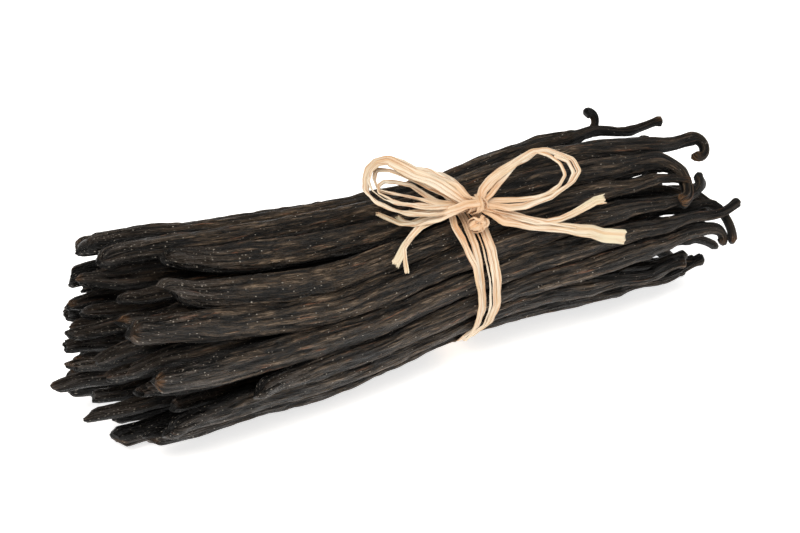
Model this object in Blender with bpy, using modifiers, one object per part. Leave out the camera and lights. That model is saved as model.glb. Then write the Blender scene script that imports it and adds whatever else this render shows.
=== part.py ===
"""A bundle of vanilla pods, tied round the middle with a raffia bow. Metres, +Z up.

+X runs along the bundle, from the blunt blossom ends to the thin curled stem ends.
Places on the bundle are given as (x, lift, radius): x from the tie, the angle lifted from the
front (-Y) towards the top (+Z), and the distance from the bundle's middle line.
"""
import math
import random

import bmesh
import bpy
import numpy as np
from mathutils import Matrix, Vector
from mathutils.bvhtree import BVHTree
from mathutils.geometry import convex_hull_2d

MM = 0.001
SEED = 11

# The bundle's outer girth, which is tight at the tie and swells towards both ends
TIE_RADIUS = 21.6 * MM
BLUNT_SWELL = 4.4 * MM
BLUNT_SWELL_RUN = 34 * MM
BLUNT_FLARE = 2.3 * MM
FLARE_START = -62 * MM
FLARE_RUN = 30 * MM
STEM_SWELL = 2.3 * MM
STEM_SWELL_RUN = 26 * MM
STEM_TAPER = 4.0 * MM
TAPER_START = 44 * MM
TAPER_RUN = 34 * MM

# Height of the bundle's middle line along x, both in mm: it lies on its belly and its stem ends
MIDDLE_LINE = (
    (-115, 32.4), (-100, 31.6), (-85, 29.9), (-65, 27.4), (-48, 25.7), (-32, 24.8), (-14, 25.3),
    (2, 26.2), (18, 26.6), (34, 26.3), (50, 24.8), (68, 22.8), (90, 21.8),
)

# Where the tie's station stands in the frame, whose origin is under the middle of the bundle
TIE_X = 13.9 * MM
FLOOR = 1.7 * MM

# One pod
POD_RADIUS = 3.75 * MM
INNER_POD_RADIUS = 3.2 * MM
BLUNT_TIP_RADIUS = 2.2 * MM
STEM_RADIUS = 1.35 * MM
NECK_RUN = 34 * MM
NOSE_RUN = 26 * MM
TIP_ROUNDING = 1.6 * MM
BODY_STEPS = 26
BEND_STEPS = 10

# Outer pods, going round: lift at the blunt tip, in the middle and at the stem end in degrees,
# x of the blunt tip and of the stem's start of bend in mm, then the bend: turn in degrees,
# its run in mm and the way it turns, as a lift angle
OUTER_PODS = (
    (121, 119, 113, -92, 58.5, 8, 12, 120),
    (82, 98, 80, -93, 70, 250, 14, -54),
    (78, 72, 67, -81, 57, 180, 22, -50),
    (60, 47, 52, -84, 63, 25, 7, 60),
    (34, 27, 33, -93, 61, 150, 9, 110),
    (8, 10, 14, -89, 66.5, 22, 11, 100),
    (-22, -11, 4, -67, 60, 120, 13, -70),
    (-41, -31, -27, -83, 52, 12, 9, 60),
    (-56, -54, -46, -91, 58, 16, 13, 112),
    (-80, -76, -72, -95, 40, 25, 14, 90),
    (-102, -98, -98, -92, 38, 60, 14, 100),
    (-124, -120, -122, -99, 44, 30, 16, 60),
    (-146, -143, -146, -93, 42, 90, 16, 30),
    (-168, -166, -170, -95, 38, 40, 16, 10),
    (165, 170, 154, -93, 36, 40, 10, 125),
    (138, 143, 128, -92, 43, 215, 11, 118),
)
# Inner pods, ring by ring: lift in degrees and x of the blunt tip in mm
INNER_PODS = (
    ((-40, -83), (-16, -94), (6, -101), (26, -103), (47, -95), (68, -93), (92, -100), (114, -97),
     (142, -94), (172, -97), (202, -97), (232, -100), (262, -98), (291, -102)),
    ((-50, -110), (5, -107), (62, -105), (112, -99), (172, -99), (240, -101)),
    ((30, -105),),
)
RING_SHARES = (1, 0.65, 0.3, 0)
MIDDLE_LIFT_X = -40 * MM
BLUNT_SWING = 55 * MM
STEM_SWING = 85 * MM
INNER_STEM_X = (50, 66)
INNER_STEM_RUN = (10, 19)
INNER_TURNS = (15, 40, 80, 130, 190)

# Working the layout out
STATION_STEP = 5 * MM
SETTLE_ROUNDS = 60
TOUCHING = 0.94

# Turning the pods into one solid
CORE_X = (-84 * MM, 44 * MM)
CORE_STEPS = 24
CORE_NARROWING = 0.45
CORE_NARROWS_FROM = 0.72
VOXEL = 1.0 * MM
BUNDLE_TRIANGLES = 5000
SLAB = 400 * MM

# Raffia
GAP = 0.35 * MM
STRAND_THICK = 0.5 * MM
BAND_STRANDS = (
    ("band_strand_left", -3.6 * MM, 2.6 * MM),
    ("band_strand_middle", -1.1 * MM, 1.5 * MM),
    ("band_strand_right", 1.1 * MM, 1.9 * MM),
)
BAND_POINTS = 40

# Routes of the free strands: x in mm, lift in degrees, height over the girth in mm
STRANDS = {
    "loop_left_outer": (3.0, (
        (-4.6, 62, 6.2), (-8, 68, 7.8), (-12.5, 76, 9.6), (-17, 83, 10.8), (-20.5, 86, 11.2), (-23.6, 84, 10.8),
        (-25.2, 78.5, 10.0), (-24.8, 73, 9.0), (-21.5, 69, 7.6), (-16, 65.5, 6.2), (-10, 61.5, 4.6),
        (-4.6, 57.6, 3.4),
    )),
    "loop_left_inner": (2.2, (
        (-4.6, 64, 5.0), (-9, 70, 6.2), (-14, 76, 7.2), (-18.5, 80, 7.6), (-22.5, 80.5, 7.4), (-24.6, 77, 6.8),
        (-23.5, 73, 6.0), (-19, 70, 5.0), (-14, 66, 4.0), (-9, 62.5, 3.1), (-4.6, 60, 2.4),
    )),
    "loop_right_outer": (1.6, (
        (3.6, 62, 6.2), (8, 67.5, 7.2), (14, 72, 7.6), (20, 73, 7.2), (26, 68, 6.8), (28.8, 60.5, 6.1),
        (27, 54, 5.2), (21, 51.5, 4.4), (14, 52.5, 4.0), (8, 54, 3.9), (3.6, 55.5, 3.8),
    )),
    "loop_right_inner": (1.5, (
        (3.6, 62.5, 5.0), (8, 67.5, 5.8), (13, 72, 6.4), (18, 73, 6.2), (23.2, 68, 5.4), (25.4, 61, 4.4),
        (24, 55, 3.4), (19.5, 53, 2.9), (14, 54.5, 2.7), (8, 56, 2.6), (3.6, 57.5, 2.4),
    )),
    "tail_left_upper": (2.0, (
        (-4.6, 56, 2.0), (-9, 56.5, 2.2), (-14, 58, 1.8), (-19, 61, 1.5), (-23, 66, 1.6), (-26, 70, 2.2),
    )),
    "tail_left_lower": (2.0, (
        (-4.6, 53, 3.0), (-9, 53, 3.2), (-14, 52, 2.6), (-19, 49, 1.6), (-23, 44.5, 1.3), (-26, 40, 1.3),
        (-28, 35.5, 1.6),
    )),
    "tail_right_upper": (2.0, (
        (3.6, 52.6, 3.2), (8, 49, 2.8), (14, 44.5, 1.8), (21, 41, 1.4), (28, 38.5, 1.6), (34.6, 39.5, 2.4),
    )),
    "tail_right_lower": (2.8, (
        (3.6, 50.4, 1.8), (8, 45.5, 1.4), (14, 39, 1.3), (20, 32.5, 1.2), (27, 26, 1.3), (32.5, 21, 1.4),
        (37.6, 17, 1.8),
    )),
    "band_strand_slant": (1.2, (
        (-9.4, 55, 1.1), (-8.2, 48, 1.0), (-7.0, 40, 1.0), (-6.3, 31, 1.0), (-6.0, 20, 1.0), (-6.0, 5, 1.0),
        (-6.1, -12, 1.0), (-6.4, -30, 1.0), (-6.8, -48, 1.0), (-7.2, -66, 1.0), (-7.4, -84, 1.0),
    )),
}
SAMPLES_PER_SPAN = 3

# Knots: x in mm, lift in degrees, height over the girth, the half sides along x, across and
# outward, and for each turn of strand round it its shift along x and its lean, all in mm
KNOTS = {
    "bow_knot": (-0.5, 59, 4.4, (3.2, 2.4, 2.2), ((-0.6, 0.8), (0.9, -0.7))),
    "band_knot": (-1.6, 46, 3.3, (2.6, 2.3, 1.5), ((-0.8, 0.9), (0.7, 0.5))),
}
TURN_POINTS = 20
TURN_RADIUS = 0.62 * MM
KNOT_VOXEL = 0.3 * MM
KNOT_TRIANGLES = 340

COLOURS = {
    "pod": ((0.020, 0.014, 0.010, 1), 0.45),
    "raffia": ((0.80, 0.62, 0.42, 1), 0.7),
}


def smoothstep(t):
    t = min(max(t, 0.0), 1.0)
    return t * t * (3 - 2 * t)


def girth(x):
    """Radius of the bundle's outline at x from the tie."""
    if x < 0:
        swell = BLUNT_SWELL * (1 - math.exp(-((x / BLUNT_SWELL_RUN) ** 2)))
        return TIE_RADIUS + swell + BLUNT_FLARE * smoothstep((FLARE_START - x) / FLARE_RUN)
    swell = STEM_SWELL * (1 - math.exp(-((x / STEM_SWELL_RUN) ** 2)))
    return TIE_RADIUS + swell - STEM_TAPER * smoothstep((x - TAPER_START) / TAPER_RUN)


def middle_height(x):
    """Height of the bundle's middle line at x from the tie."""
    stations = [spot[0] * MM for spot in MIDDLE_LINE]
    heights = [spot[1] * MM for spot in MIDDLE_LINE]
    shifts = (-9 * MM, -4.5 * MM, 0, 4.5 * MM, 9 * MM)
    return float(np.mean([np.interp(x + shift, stations, heights) for shift in shifts]))


def place(x, lift, radius):
    """A point of the bundle, from its x, lift angle in degrees and distance from the middle line."""
    angle = math.radians(lift)
    return Vector((x, -radius * math.cos(angle), middle_height(x) + radius * math.sin(angle)))


def outward(lift):
    angle = math.radians(lift)
    return Vector((0, -math.cos(angle), math.sin(angle)))


def pod_plans():
    """What each pod is: its ring, lifts, ends, thickness and stem bend."""
    dice = random.Random(SEED)
    plans = []
    for blunt, middle, stem, start, end, turn, run, way in OUTER_PODS:
        plans.append({
            "ring": 0,
            "lifts": (blunt, middle, stem),
            "start": start * MM,
            "end": end * MM,
            "radius": POD_RADIUS * dice.uniform(0.93, 1.08),
            "turn": turn,
            "run": run * MM,
            "way": way,
        })
    for ring, row in enumerate(INNER_PODS, 1):
        for lift, start in row:
            plans.append({
                "ring": ring,
                "lifts": (lift, lift + dice.uniform(-8, 8), lift + dice.uniform(-14, 14)),
                "start": start * MM,
                "end": dice.uniform(*INNER_STEM_X) * MM,
                "radius": INNER_POD_RADIUS * dice.uniform(0.92, 1.08),
                "turn": dice.choice(INNER_TURNS),
                "run": dice.uniform(*INNER_STEM_RUN) * MM,
                "way": dice.uniform(0, 360),
            })
    return plans


def lift_at(plan, x):
    """Lift of a pod at x, running smoothly through its three lifts."""
    blunt, middle, stem = plan["lifts"]
    if x < MIDDLE_LIFT_X:
        return middle + (blunt - middle) * smoothstep((MIDDLE_LIFT_X - x) / BLUNT_SWING)
    return middle + (stem - middle) * smoothstep((x - MIDDLE_LIFT_X) / STEM_SWING)


def thickness(plan, travel):
    """A pod's radius at this distance from its blunt tip: a blunt nose, a full body, a slim neck."""
    body = plan["end"] - plan["start"]
    nose = BLUNT_TIP_RADIUS + (plan["radius"] - BLUNT_TIP_RADIUS) * smoothstep(travel / NOSE_RUN)
    tip = math.sqrt(max(0.0, 1 - (1 - min(travel / TIP_ROUNDING, 1)) ** 2))
    neck = smoothstep((travel - (body - NECK_RUN)) / (NECK_RUN + 4 * MM))
    return max(tip, 0.35) * (nose + (STEM_RADIUS - nose) * neck)


def settle(plans):
    """Centre of every pod at every station across, pushed apart until they only just touch."""
    first = min(plan["start"] for plan in plans)
    last = max(plan["end"] for plan in plans)
    stations = np.arange(first, last + STATION_STEP, STATION_STEP)
    count = len(plans)
    spots = np.zeros((len(stations), count, 2))
    sizes = np.zeros((len(stations), count))
    limit = np.zeros((len(stations), count))
    for row, x in enumerate(stations):
        for column, plan in enumerate(plans):
            x_in = min(max(x, plan["start"]), plan["end"])
            sizes[row, column] = thickness(plan, max(x_in - plan["start"], 8 * MM))
            limit[row, column] = girth(x) - sizes[row, column]
            radius = limit[row, column] * RING_SHARES[plan["ring"]]
            angle = math.radians(lift_at(plan, x_in))
            spots[row, column] = (-radius * math.cos(angle), radius * math.sin(angle))
    wanted = spots.copy()
    reach = (sizes[:, :, None] + sizes[:, None, :]) * TOUCHING
    for _ in range(SETTLE_ROUNDS):
        apart = spots[:, :, None, :] - spots[:, None, :, :]
        distance = np.linalg.norm(apart, axis=3) + 1e-9
        overlap = np.clip(reach - distance, 0, None)
        overlap[:, range(count), range(count)] = 0
        spots += (apart / distance[..., None] * overlap[..., None] * 0.3).sum(axis=2)
        spots += (wanted - spots) * 0.04
        spots[1:-1] += (spots[:-2] + spots[2:] - 2 * spots[1:-1]) * 0.2
        from_middle = np.linalg.norm(spots, axis=2) + 1e-9
        spots *= np.minimum(1, limit / from_middle)[..., None]
    return stations, spots


def pod_route(plan, stations, spots):
    """A pod's centre line from its blunt tip to the end of its stem, with the radius at each point."""
    points = []
    for index in range(BODY_STEPS + 1):
        x = plan["start"] + (plan["end"] - plan["start"]) * index / BODY_STEPS
        y = np.interp(x, stations, spots[:, 0])
        z = np.interp(x, stations, spots[:, 1])
        points.append(Vector((x, y, middle_height(x) + z)))
    radii = [thickness(plan, (point - points[0]).length) for point in points]
    heading = (points[-1] - points[-3]).normalized()
    way = outward(plan["way"])
    axis = heading.cross(way).normalized()
    for index in range(BEND_STEPS):
        share = (index + 0.5) / BEND_STEPS
        angle = math.radians(plan["turn"]) * share ** 1.4
        direction = heading * math.cos(angle) + axis.cross(heading) * math.sin(angle)
        points.append(points[-1] + direction * plan["run"] / BEND_STEPS)
        radii.append(STEM_RADIUS)
    # The nose is drawn finer, so that its end comes out rounded
    for share, size in ((0.25, 0.93), (0.08, 0.7)):
        points.insert(1, points[0].lerp(points[1], share))
        radii.insert(1, BLUNT_TIP_RADIUS * size)
    return points, radii


def clear_scene():
    for obj in list(bpy.data.objects):
        bpy.data.objects.remove(obj, do_unlink=True)


def make_collection(name):
    collection = bpy.data.collections.new(name)
    bpy.context.scene.collection.children.link(collection)
    return collection


def make_material(name):
    colour, roughness = COLOURS[name]
    material = bpy.data.materials.new(name)
    material.use_nodes = True
    shader = material.node_tree.nodes["Principled BSDF"]
    shader.inputs["Base Color"].default_value = colour
    shader.inputs["Roughness"].default_value = roughness
    return material


def poly_curve(name, points, radii, cyclic=False):
    """A curve object through these points, of straight runs, with a radius at each point."""
    curve = bpy.data.curves.new(name, "CURVE")
    curve.dimensions = "3D"
    spline = curve.splines.new("POLY")
    spline.points.add(len(points) - 1)
    for spot, point, radius in zip(spline.points, points, radii):
        spot.co = (*point, 1)
        spot.radius = radius
    spline.use_cyclic_u = cyclic
    return bpy.data.objects.new(name, curve)


def curve_to_bmesh(obj):
    """The curve's closed mesh, with its caps welded on. The curve is removed."""
    bpy.context.scene.collection.objects.link(obj)
    bpy.context.view_layer.update()
    graph = bpy.context.evaluated_depsgraph_get()
    mesh = bpy.data.meshes.new_from_object(obj.evaluated_get(graph))
    bpy.data.objects.remove(obj, do_unlink=True)
    shape = bmesh.new()
    shape.from_mesh(mesh)
    bpy.data.meshes.remove(mesh)
    bmesh.ops.remove_doubles(shape, verts=shape.verts, dist=0.01 * MM)
    return shape


def tube(points, radii):
    obj = poly_curve("tube", points, radii)
    obj.data.bevel_depth = 1
    obj.data.bevel_resolution = 3
    obj.data.use_fill_caps = True
    return curve_to_bmesh(obj)


def join(shapes):
    """One mesh holding all these shapes."""
    whole = bmesh.new()
    for shape in shapes:
        mesh = bpy.data.meshes.new("piece")
        shape.to_mesh(mesh)
        shape.free()
        whole.from_mesh(mesh)
        bpy.data.meshes.remove(mesh)
    mesh = bpy.data.meshes.new("joined")
    whole.to_mesh(mesh)
    whole.free()
    return mesh


def outer_skin(mesh):
    """Keeps the largest island of a mesh, which is its outside, and drops sealed pockets within."""
    shape = bmesh.new()
    shape.from_mesh(mesh)
    left = set(shape.verts)
    islands = []
    while left:
        seed = left.pop()
        island = {seed}
        edge = [seed]
        while edge:
            vert = edge.pop()
            for link in vert.link_edges:
                other = link.other_vert(vert)
                if other not in island:
                    island.add(other)
                    edge.append(other)
        left -= island
        islands.append(island)
    islands.sort(key=len, reverse=True)
    spare = [vert for island in islands[1:] for vert in island]
    bmesh.ops.delete(shape, geom=spare, context="VERTS")
    shape.to_mesh(mesh)
    shape.free()


def evaluated_mesh(obj):
    bpy.context.view_layer.update()
    graph = bpy.context.evaluated_depsgraph_get()
    return bpy.data.meshes.new_from_object(obj.evaluated_get(graph))


def fused(name, mesh, voxel, triangles, collection, material):
    """Overlapping shapes made one closed solid of about this many triangles."""
    obj = bpy.data.objects.new(name, mesh)
    collection.objects.link(obj)
    remesh = obj.modifiers.new("fuse", "REMESH")
    remesh.mode = "VOXEL"
    remesh.voxel_size = voxel
    skin = evaluated_mesh(obj)
    obj.modifiers.clear()
    obj.data = skin
    outer_skin(skin)
    decimate = obj.modifiers.new("thin_out", "DECIMATE")
    decimate.ratio = triangles / (2 * len(skin.polygons))
    decimate.use_collapse_triangulate = True
    obj.data = evaluated_mesh(obj)
    obj.modifiers.clear()
    obj.data.materials.clear()
    obj.data.materials.append(material)
    return obj


def core_shape():
    """The bundle's inside, which fills the spaces between the pods that cannot be seen."""
    points = []
    radii = []
    for index in range(CORE_STEPS + 1):
        share = index / CORE_STEPS
        x = CORE_X[0] + (CORE_X[1] - CORE_X[0]) * share
        past = (share - CORE_NARROWS_FROM) / (1 - CORE_NARROWS_FROM)
        points.append(Vector((x, 0, middle_height(x))))
        radii.append((girth(x) - POD_RADIUS) * (1 - CORE_NARROWING * smoothstep(past)))
    return tube(points, radii)


def add_pod_bundle(parts, material):
    plans = pod_plans()
    stations, spots = settle(plans)
    shapes = []
    for column, plan in enumerate(plans):
        points, radii = pod_route(plan, stations, spots[:, column])
        shapes.append(tube(points, radii))
    shapes.append(core_shape())
    return fused("pod_bundle", join(shapes), VOXEL, BUNDLE_TRIANGLES, parts, material)


def cut_flat(bundle, cutters):
    """Takes a little off underneath, so that the round bundle lies on small flat spots."""
    bpy.ops.mesh.primitive_cube_add(size=SLAB, location=(0, 0, FLOOR - SLAB / 2))
    slab = bpy.context.object
    slab.name = "floor_cutter"
    slab.hide_render = True
    slab.display_type = "WIRE"
    for collection in slab.users_collection:
        collection.objects.unlink(slab)
    cutters.objects.link(slab)
    cut = bundle.modifiers.new("flat_spots", "BOOLEAN")
    cut.operation = "DIFFERENCE"
    cut.object = slab
    bundle.data = evaluated_mesh(bundle)
    bundle.modifiers.clear()


def skin_tree(obj):
    shape = bmesh.new()
    shape.from_mesh(obj.data)
    tree = BVHTree.FromBMesh(shape)
    shape.free()
    return tree


def outline_points(tree, x, width):
    """Where the bundle's surface is, going round it at x, as pairs of y and z."""
    found = []
    for index in range(120):
        lift = 360 * index / 120
        reach = 0
        for shift in (-0.6, -0.2, 0.2, 0.6):
            start = place(x + shift * width, lift, 60 * MM)
            hit = tree.ray_cast(start, -outward(lift))[0]
            if hit is not None:
                reach = max(reach, math.hypot(hit.y, hit.z - middle_height(hit.x)))
        point = place(x, lift, reach)
        found.append((point.y, point.z))
    return found


def taut_ring(tree, x, width):
    """A strand's closed route round the bundle, straight across the grooves between pods."""
    found = outline_points(tree, x, width)
    corners = [Vector(found[index]) for index in convex_hull_2d(found)]
    middle = Vector((0, middle_height(x)))
    clear = GAP + STRAND_THICK / 2
    corners = [corner + (corner - middle).normalized() * clear for corner in corners]
    lengths = [(corners[(i + 1) % len(corners)] - corners[i]).length for i in range(len(corners))]
    step = sum(lengths) / BAND_POINTS
    route = []
    travel = 0.0
    passed = 0.0
    for index, length in enumerate(lengths):
        while travel < passed + length - 1e-9:
            share = (travel - passed) / length
            route.append(corners[index].lerp(corners[(index + 1) % len(corners)], share))
            travel += step
        passed += length
    return route[:BAND_POINTS]


def add_band_strand(name, tree, x, width, parts, material):
    """A flat strand drawn tight round the bundle. Its curve lies in its own XY plane."""
    route = taut_ring(tree, x, width)
    points = [Vector((point.x, point.y, 0)) for point in route]
    obj = poly_curve(name, points, [1] * len(points), cyclic=True)
    obj.data.twist_mode = "Z_UP"
    obj.data.extrude = width / 2 - STRAND_THICK / 2
    obj.data.bevel_depth = STRAND_THICK / 2
    obj.data.bevel_resolution = 0
    shape = curve_to_bmesh(obj)
    # The ring's own axis becomes X, its x becomes Y and its y becomes Z
    for vert in shape.verts:
        vert.co = Vector((x + vert.co.z, vert.co.x, vert.co.y))
    if shape.calc_volume(signed=True) < 0:
        bmesh.ops.reverse_faces(shape, faces=shape.faces)
    mesh = bpy.data.meshes.new(name)
    shape.to_mesh(mesh)
    shape.free()
    mesh.materials.append(material)
    band = bpy.data.objects.new(name, mesh)
    parts.objects.link(band)
    return band


def smooth_route(points):
    """Points on one smooth curve through these, three to a span."""
    route = []
    for index in range(len(points) - 1):
        before = points[max(index - 1, 0)]
        start, end = points[index], points[index + 1]
        after = points[min(index + 2, len(points) - 1)]
        for step in range(SAMPLES_PER_SPAN):
            t = step / SAMPLES_PER_SPAN
            route.append(0.5 * (
                2 * start + (end - before) * t
                + (2 * before - 5 * start + 4 * end - after) * t * t
                + (3 * start - before - 3 * end + after) * t ** 3
            ))
    route.append(points[-1])
    return route


def strand_route(name):
    _, spots = STRANDS[name]
    return smooth_route([place(x * MM, lift, girth(x * MM) + height * MM) for x, lift, height in spots])


def outward_tilt(before, point, after):
    """How far to turn a ribbon about its run, from upright, so that its flat side faces outward."""
    run = ((point - before).normalized() + (after - point).normalized()).normalized()
    away = Vector((0, point.y, point.z - middle_height(point.x))).normalized()
    width = run.cross(away).normalized()
    upright = (Vector((0, 0, 1)) - run * run.z).normalized()
    return math.atan2(run.dot(upright.cross(width)), upright.dot(width))


def add_strand(name, parts, material):
    """A free flat strand of the bow along its route."""
    width = STRANDS[name][0] * MM
    route = strand_route(name)
    obj = poly_curve(name, route, [1] * len(route))
    spots = obj.data.splines[0].points
    for index, point in enumerate(route):
        before = route[index - 1] if index else point + (point - route[1])
        after = route[index + 1] if index + 1 < len(route) else point + (point - route[-2])
        spots[index].tilt = outward_tilt(before, point, after)
    obj.data.twist_mode = "Z_UP"
    obj.data.extrude = width / 2 - STRAND_THICK / 2
    obj.data.bevel_depth = STRAND_THICK / 2
    obj.data.bevel_resolution = 0
    obj.data.use_fill_caps = True
    obj.data.materials.append(material)
    parts.objects.link(obj)
    return obj


def ball(middle, size, turn):
    """A flattened ball as part of a knot: its half sides along x, across and outward."""
    shape = bmesh.new()
    bmesh.ops.create_uvsphere(shape, u_segments=20, v_segments=12, radius=1)
    across = outward(turn + 90)
    out = outward(turn)
    for vert in shape.verts:
        vert.co = (
            middle + Vector((size[0] * vert.co.x, 0, 0))
            + across * size[1] * vert.co.y + out * size[2] * vert.co.z
        )
    return shape


def add_knot(name, parts, material):
    """A knot: a tight core with the turns of the strand round it."""
    x, lift, height, sides, turns = KNOTS[name]
    middle = place(x * MM, lift, girth(x * MM) + height * MM)
    size = [side * MM for side in sides]
    shapes = [ball(middle, size, lift)]
    across = outward(lift + 90)
    out = outward(lift)
    for shift, lean in turns:
        points = []
        for index in range(TURN_POINTS + 1):
            angle = 2 * math.pi * index / TURN_POINTS
            along = (shift + lean * math.sin(angle)) * MM
            points.append(
                middle + Vector((along, 0, 0))
                + across * (size[1] * math.cos(angle)) + out * (size[2] * math.sin(angle))
            )
        shapes.append(tube(points, [TURN_RADIUS] * len(points)))
    fused(name, join(shapes), KNOT_VOXEL, KNOT_TRIANGLES, parts, material)


def move_to_frame(parts):
    """Puts the origin under the middle of the bundle, on the surface that it lies on."""
    shift = Matrix.Translation((TIE_X, 0, -FLOOR))
    for obj in parts.objects:
        obj.data.transform(shift)


def main():
    clear_scene()
    parts = make_collection("vanilla_pod_bundle")
    cutters = make_collection("cutters")
    pod = make_material("pod")
    raffia = make_material("raffia")
    bundle = add_pod_bundle(parts, pod)
    cut_flat(bundle, cutters)
    tree = skin_tree(bundle)
    for name, x, width in BAND_STRANDS:
        add_band_strand(name, tree, x, width, parts, raffia)
    for name in STRANDS:
        add_strand(name, parts, raffia)
    for name in KNOTS:
        add_knot(name, parts, raffia)
    move_to_frame(parts)


main()
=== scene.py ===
# %% [markdown]
# A bundle of vanilla pods tied with a raffia bow.
#
# The imported model gives the size and the frame. It holds the pods as one solid with an uneven
# outline. Here that solid makes room for real separate pods, and the plain flat strands make room
# for crinkled raffia, both drawn again at closer range, so they stand a few millimetres off it in
# places.

# %% Load the frame
import math
import random

import bmesh
import bpy
import numpy as np
from mathutils import Matrix, Vector
from mathutils.bvhtree import BVHTree
from mathutils.geometry import convex_hull_2d


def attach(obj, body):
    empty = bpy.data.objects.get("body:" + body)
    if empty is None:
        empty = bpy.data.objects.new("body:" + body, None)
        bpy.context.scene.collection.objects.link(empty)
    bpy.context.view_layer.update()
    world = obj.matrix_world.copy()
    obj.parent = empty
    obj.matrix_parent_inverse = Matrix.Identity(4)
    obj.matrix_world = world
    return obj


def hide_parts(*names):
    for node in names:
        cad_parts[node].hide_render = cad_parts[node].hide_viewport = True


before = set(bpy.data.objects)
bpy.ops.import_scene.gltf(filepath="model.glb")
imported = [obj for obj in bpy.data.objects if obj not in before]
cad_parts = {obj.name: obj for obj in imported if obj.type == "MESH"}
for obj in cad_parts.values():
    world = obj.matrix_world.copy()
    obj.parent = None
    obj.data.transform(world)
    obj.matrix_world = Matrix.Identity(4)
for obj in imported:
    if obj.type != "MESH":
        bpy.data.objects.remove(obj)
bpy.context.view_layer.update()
MM = 0.001

# %% [markdown]
# The camera comes first. It looks slantwise at the bundle on its table and down from above, with
# a long lens, so that its two ends look nearly the same size. The aim point is given, and the
# camera stands back from it along one line, which makes the view easy to turn.

# %% Camera
TIE = Vector((13.9 * MM, 0, -1.7 * MM))
AIM = Vector((4.6 * MM, 8.1 * MM, 19.7 * MM))
AZIMUTH = math.radians(-30)
ELEVATION = math.radians(32)
CAMERA_DISTANCE = 0.65
LENS = 114.95


def make_camera():
    back = Vector((
        math.sin(AZIMUTH) * math.cos(ELEVATION),
        -math.cos(AZIMUTH) * math.cos(ELEVATION),
        math.sin(ELEVATION),
    ))
    camera = bpy.data.objects.new("camera", bpy.data.cameras.new("camera"))
    camera.data.lens = LENS
    camera.data.clip_start = 0.01
    camera.location = AIM + back * CAMERA_DISTANCE
    camera.rotation_euler = back.to_track_quat("Z", "Y").to_euler()
    bpy.context.scene.collection.objects.link(camera)
    bpy.context.scene.camera = camera
    return camera


print("camera at", [round(v, 3) for v in make_camera().location])

# %% [markdown]
# Places on the bundle are given as (x, lift, radius): x from the tie, the angle lifted from the
# front (-Y) towards the top (+Z), and the distance from the bundle's middle line. The girth is
# tight at the tie, swells to both sides and narrows again at the stems. The middle line is highest
# at the blunt end and lowest at the stem end.

# %% The bundle's girth and middle line
TIE_RADIUS = 21.6 * MM
BLUNT_SWELL = 4.4 * MM
BLUNT_SWELL_RUN = 34 * MM
BLUNT_FLARE = 2.3 * MM
FLARE_START = -62 * MM
FLARE_RUN = 30 * MM
STEM_SWELL = 2.3 * MM
STEM_SWELL_RUN = 26 * MM
STEM_TAPER = 4.0 * MM
TAPER_START = 44 * MM
TAPER_RUN = 34 * MM
MIDDLE_LINE = (
    (-115, 32.4), (-100, 31.6), (-85, 29.9), (-65, 27.4), (-48, 25.7), (-32, 24.8), (-14, 25.3),
    (2, 26.2), (18, 26.6), (34, 26.3), (50, 24.8), (68, 22.8), (90, 21.8),
)


def smoothstep(t):
    t = min(max(t, 0.0), 1.0)
    return t * t * (3 - 2 * t)


def girth(x):
    if x < 0:
        swell = BLUNT_SWELL * (1 - math.exp(-((x / BLUNT_SWELL_RUN) ** 2)))
        return TIE_RADIUS + swell + BLUNT_FLARE * smoothstep((FLARE_START - x) / FLARE_RUN)
    swell = STEM_SWELL * (1 - math.exp(-((x / STEM_SWELL_RUN) ** 2)))
    return TIE_RADIUS + swell - STEM_TAPER * smoothstep((x - TAPER_START) / TAPER_RUN)


def middle_height(x):
    stations = [spot[0] * MM for spot in MIDDLE_LINE]
    heights = [spot[1] * MM for spot in MIDDLE_LINE]
    shifts = (-9 * MM, -4.5 * MM, 0, 4.5 * MM, 9 * MM)
    return float(np.mean([np.interp(x + shift, stations, heights) for shift in shifts]))


def outward(lift):
    angle = math.radians(lift)
    return Vector((0, -math.cos(angle), math.sin(angle)))


def place(x, lift, radius):
    return Vector((x, 0, middle_height(x))) + outward(lift) * radius


def away_from_middle(point):
    return Vector((0, point.y, point.z - middle_height(point.x))).normalized()


print("girth at the tie and the blunt end:", round(girth(0) / MM, 1), round(girth(-0.09) / MM, 1), "mm")

# %% [markdown]
# No two pods are alike, so each has its own plan: where its blunt blossom end and its thin stem
# end lie, how it leans round the bundle on the way, and how its stem curls. The outer pods are
# placed one by one, because they show. Those inside only show their ends, so their lean, length
# and curl are drawn with fixed dice.

# %% Plans of the pods
SEED = 11
POD_RADIUS = 3.75 * MM
SHRINK = 0.95
INNER_POD_RADIUS = 3.2 * MM
OUTER_TIP_RADIUS = 2.6 * MM
BLUNT_TIP_RADIUS = 1.95 * MM
STEM_RADIUS = 1.35 * MM
NECK_RUN = 44 * MM
NOSE_RUN = 22 * MM
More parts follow.
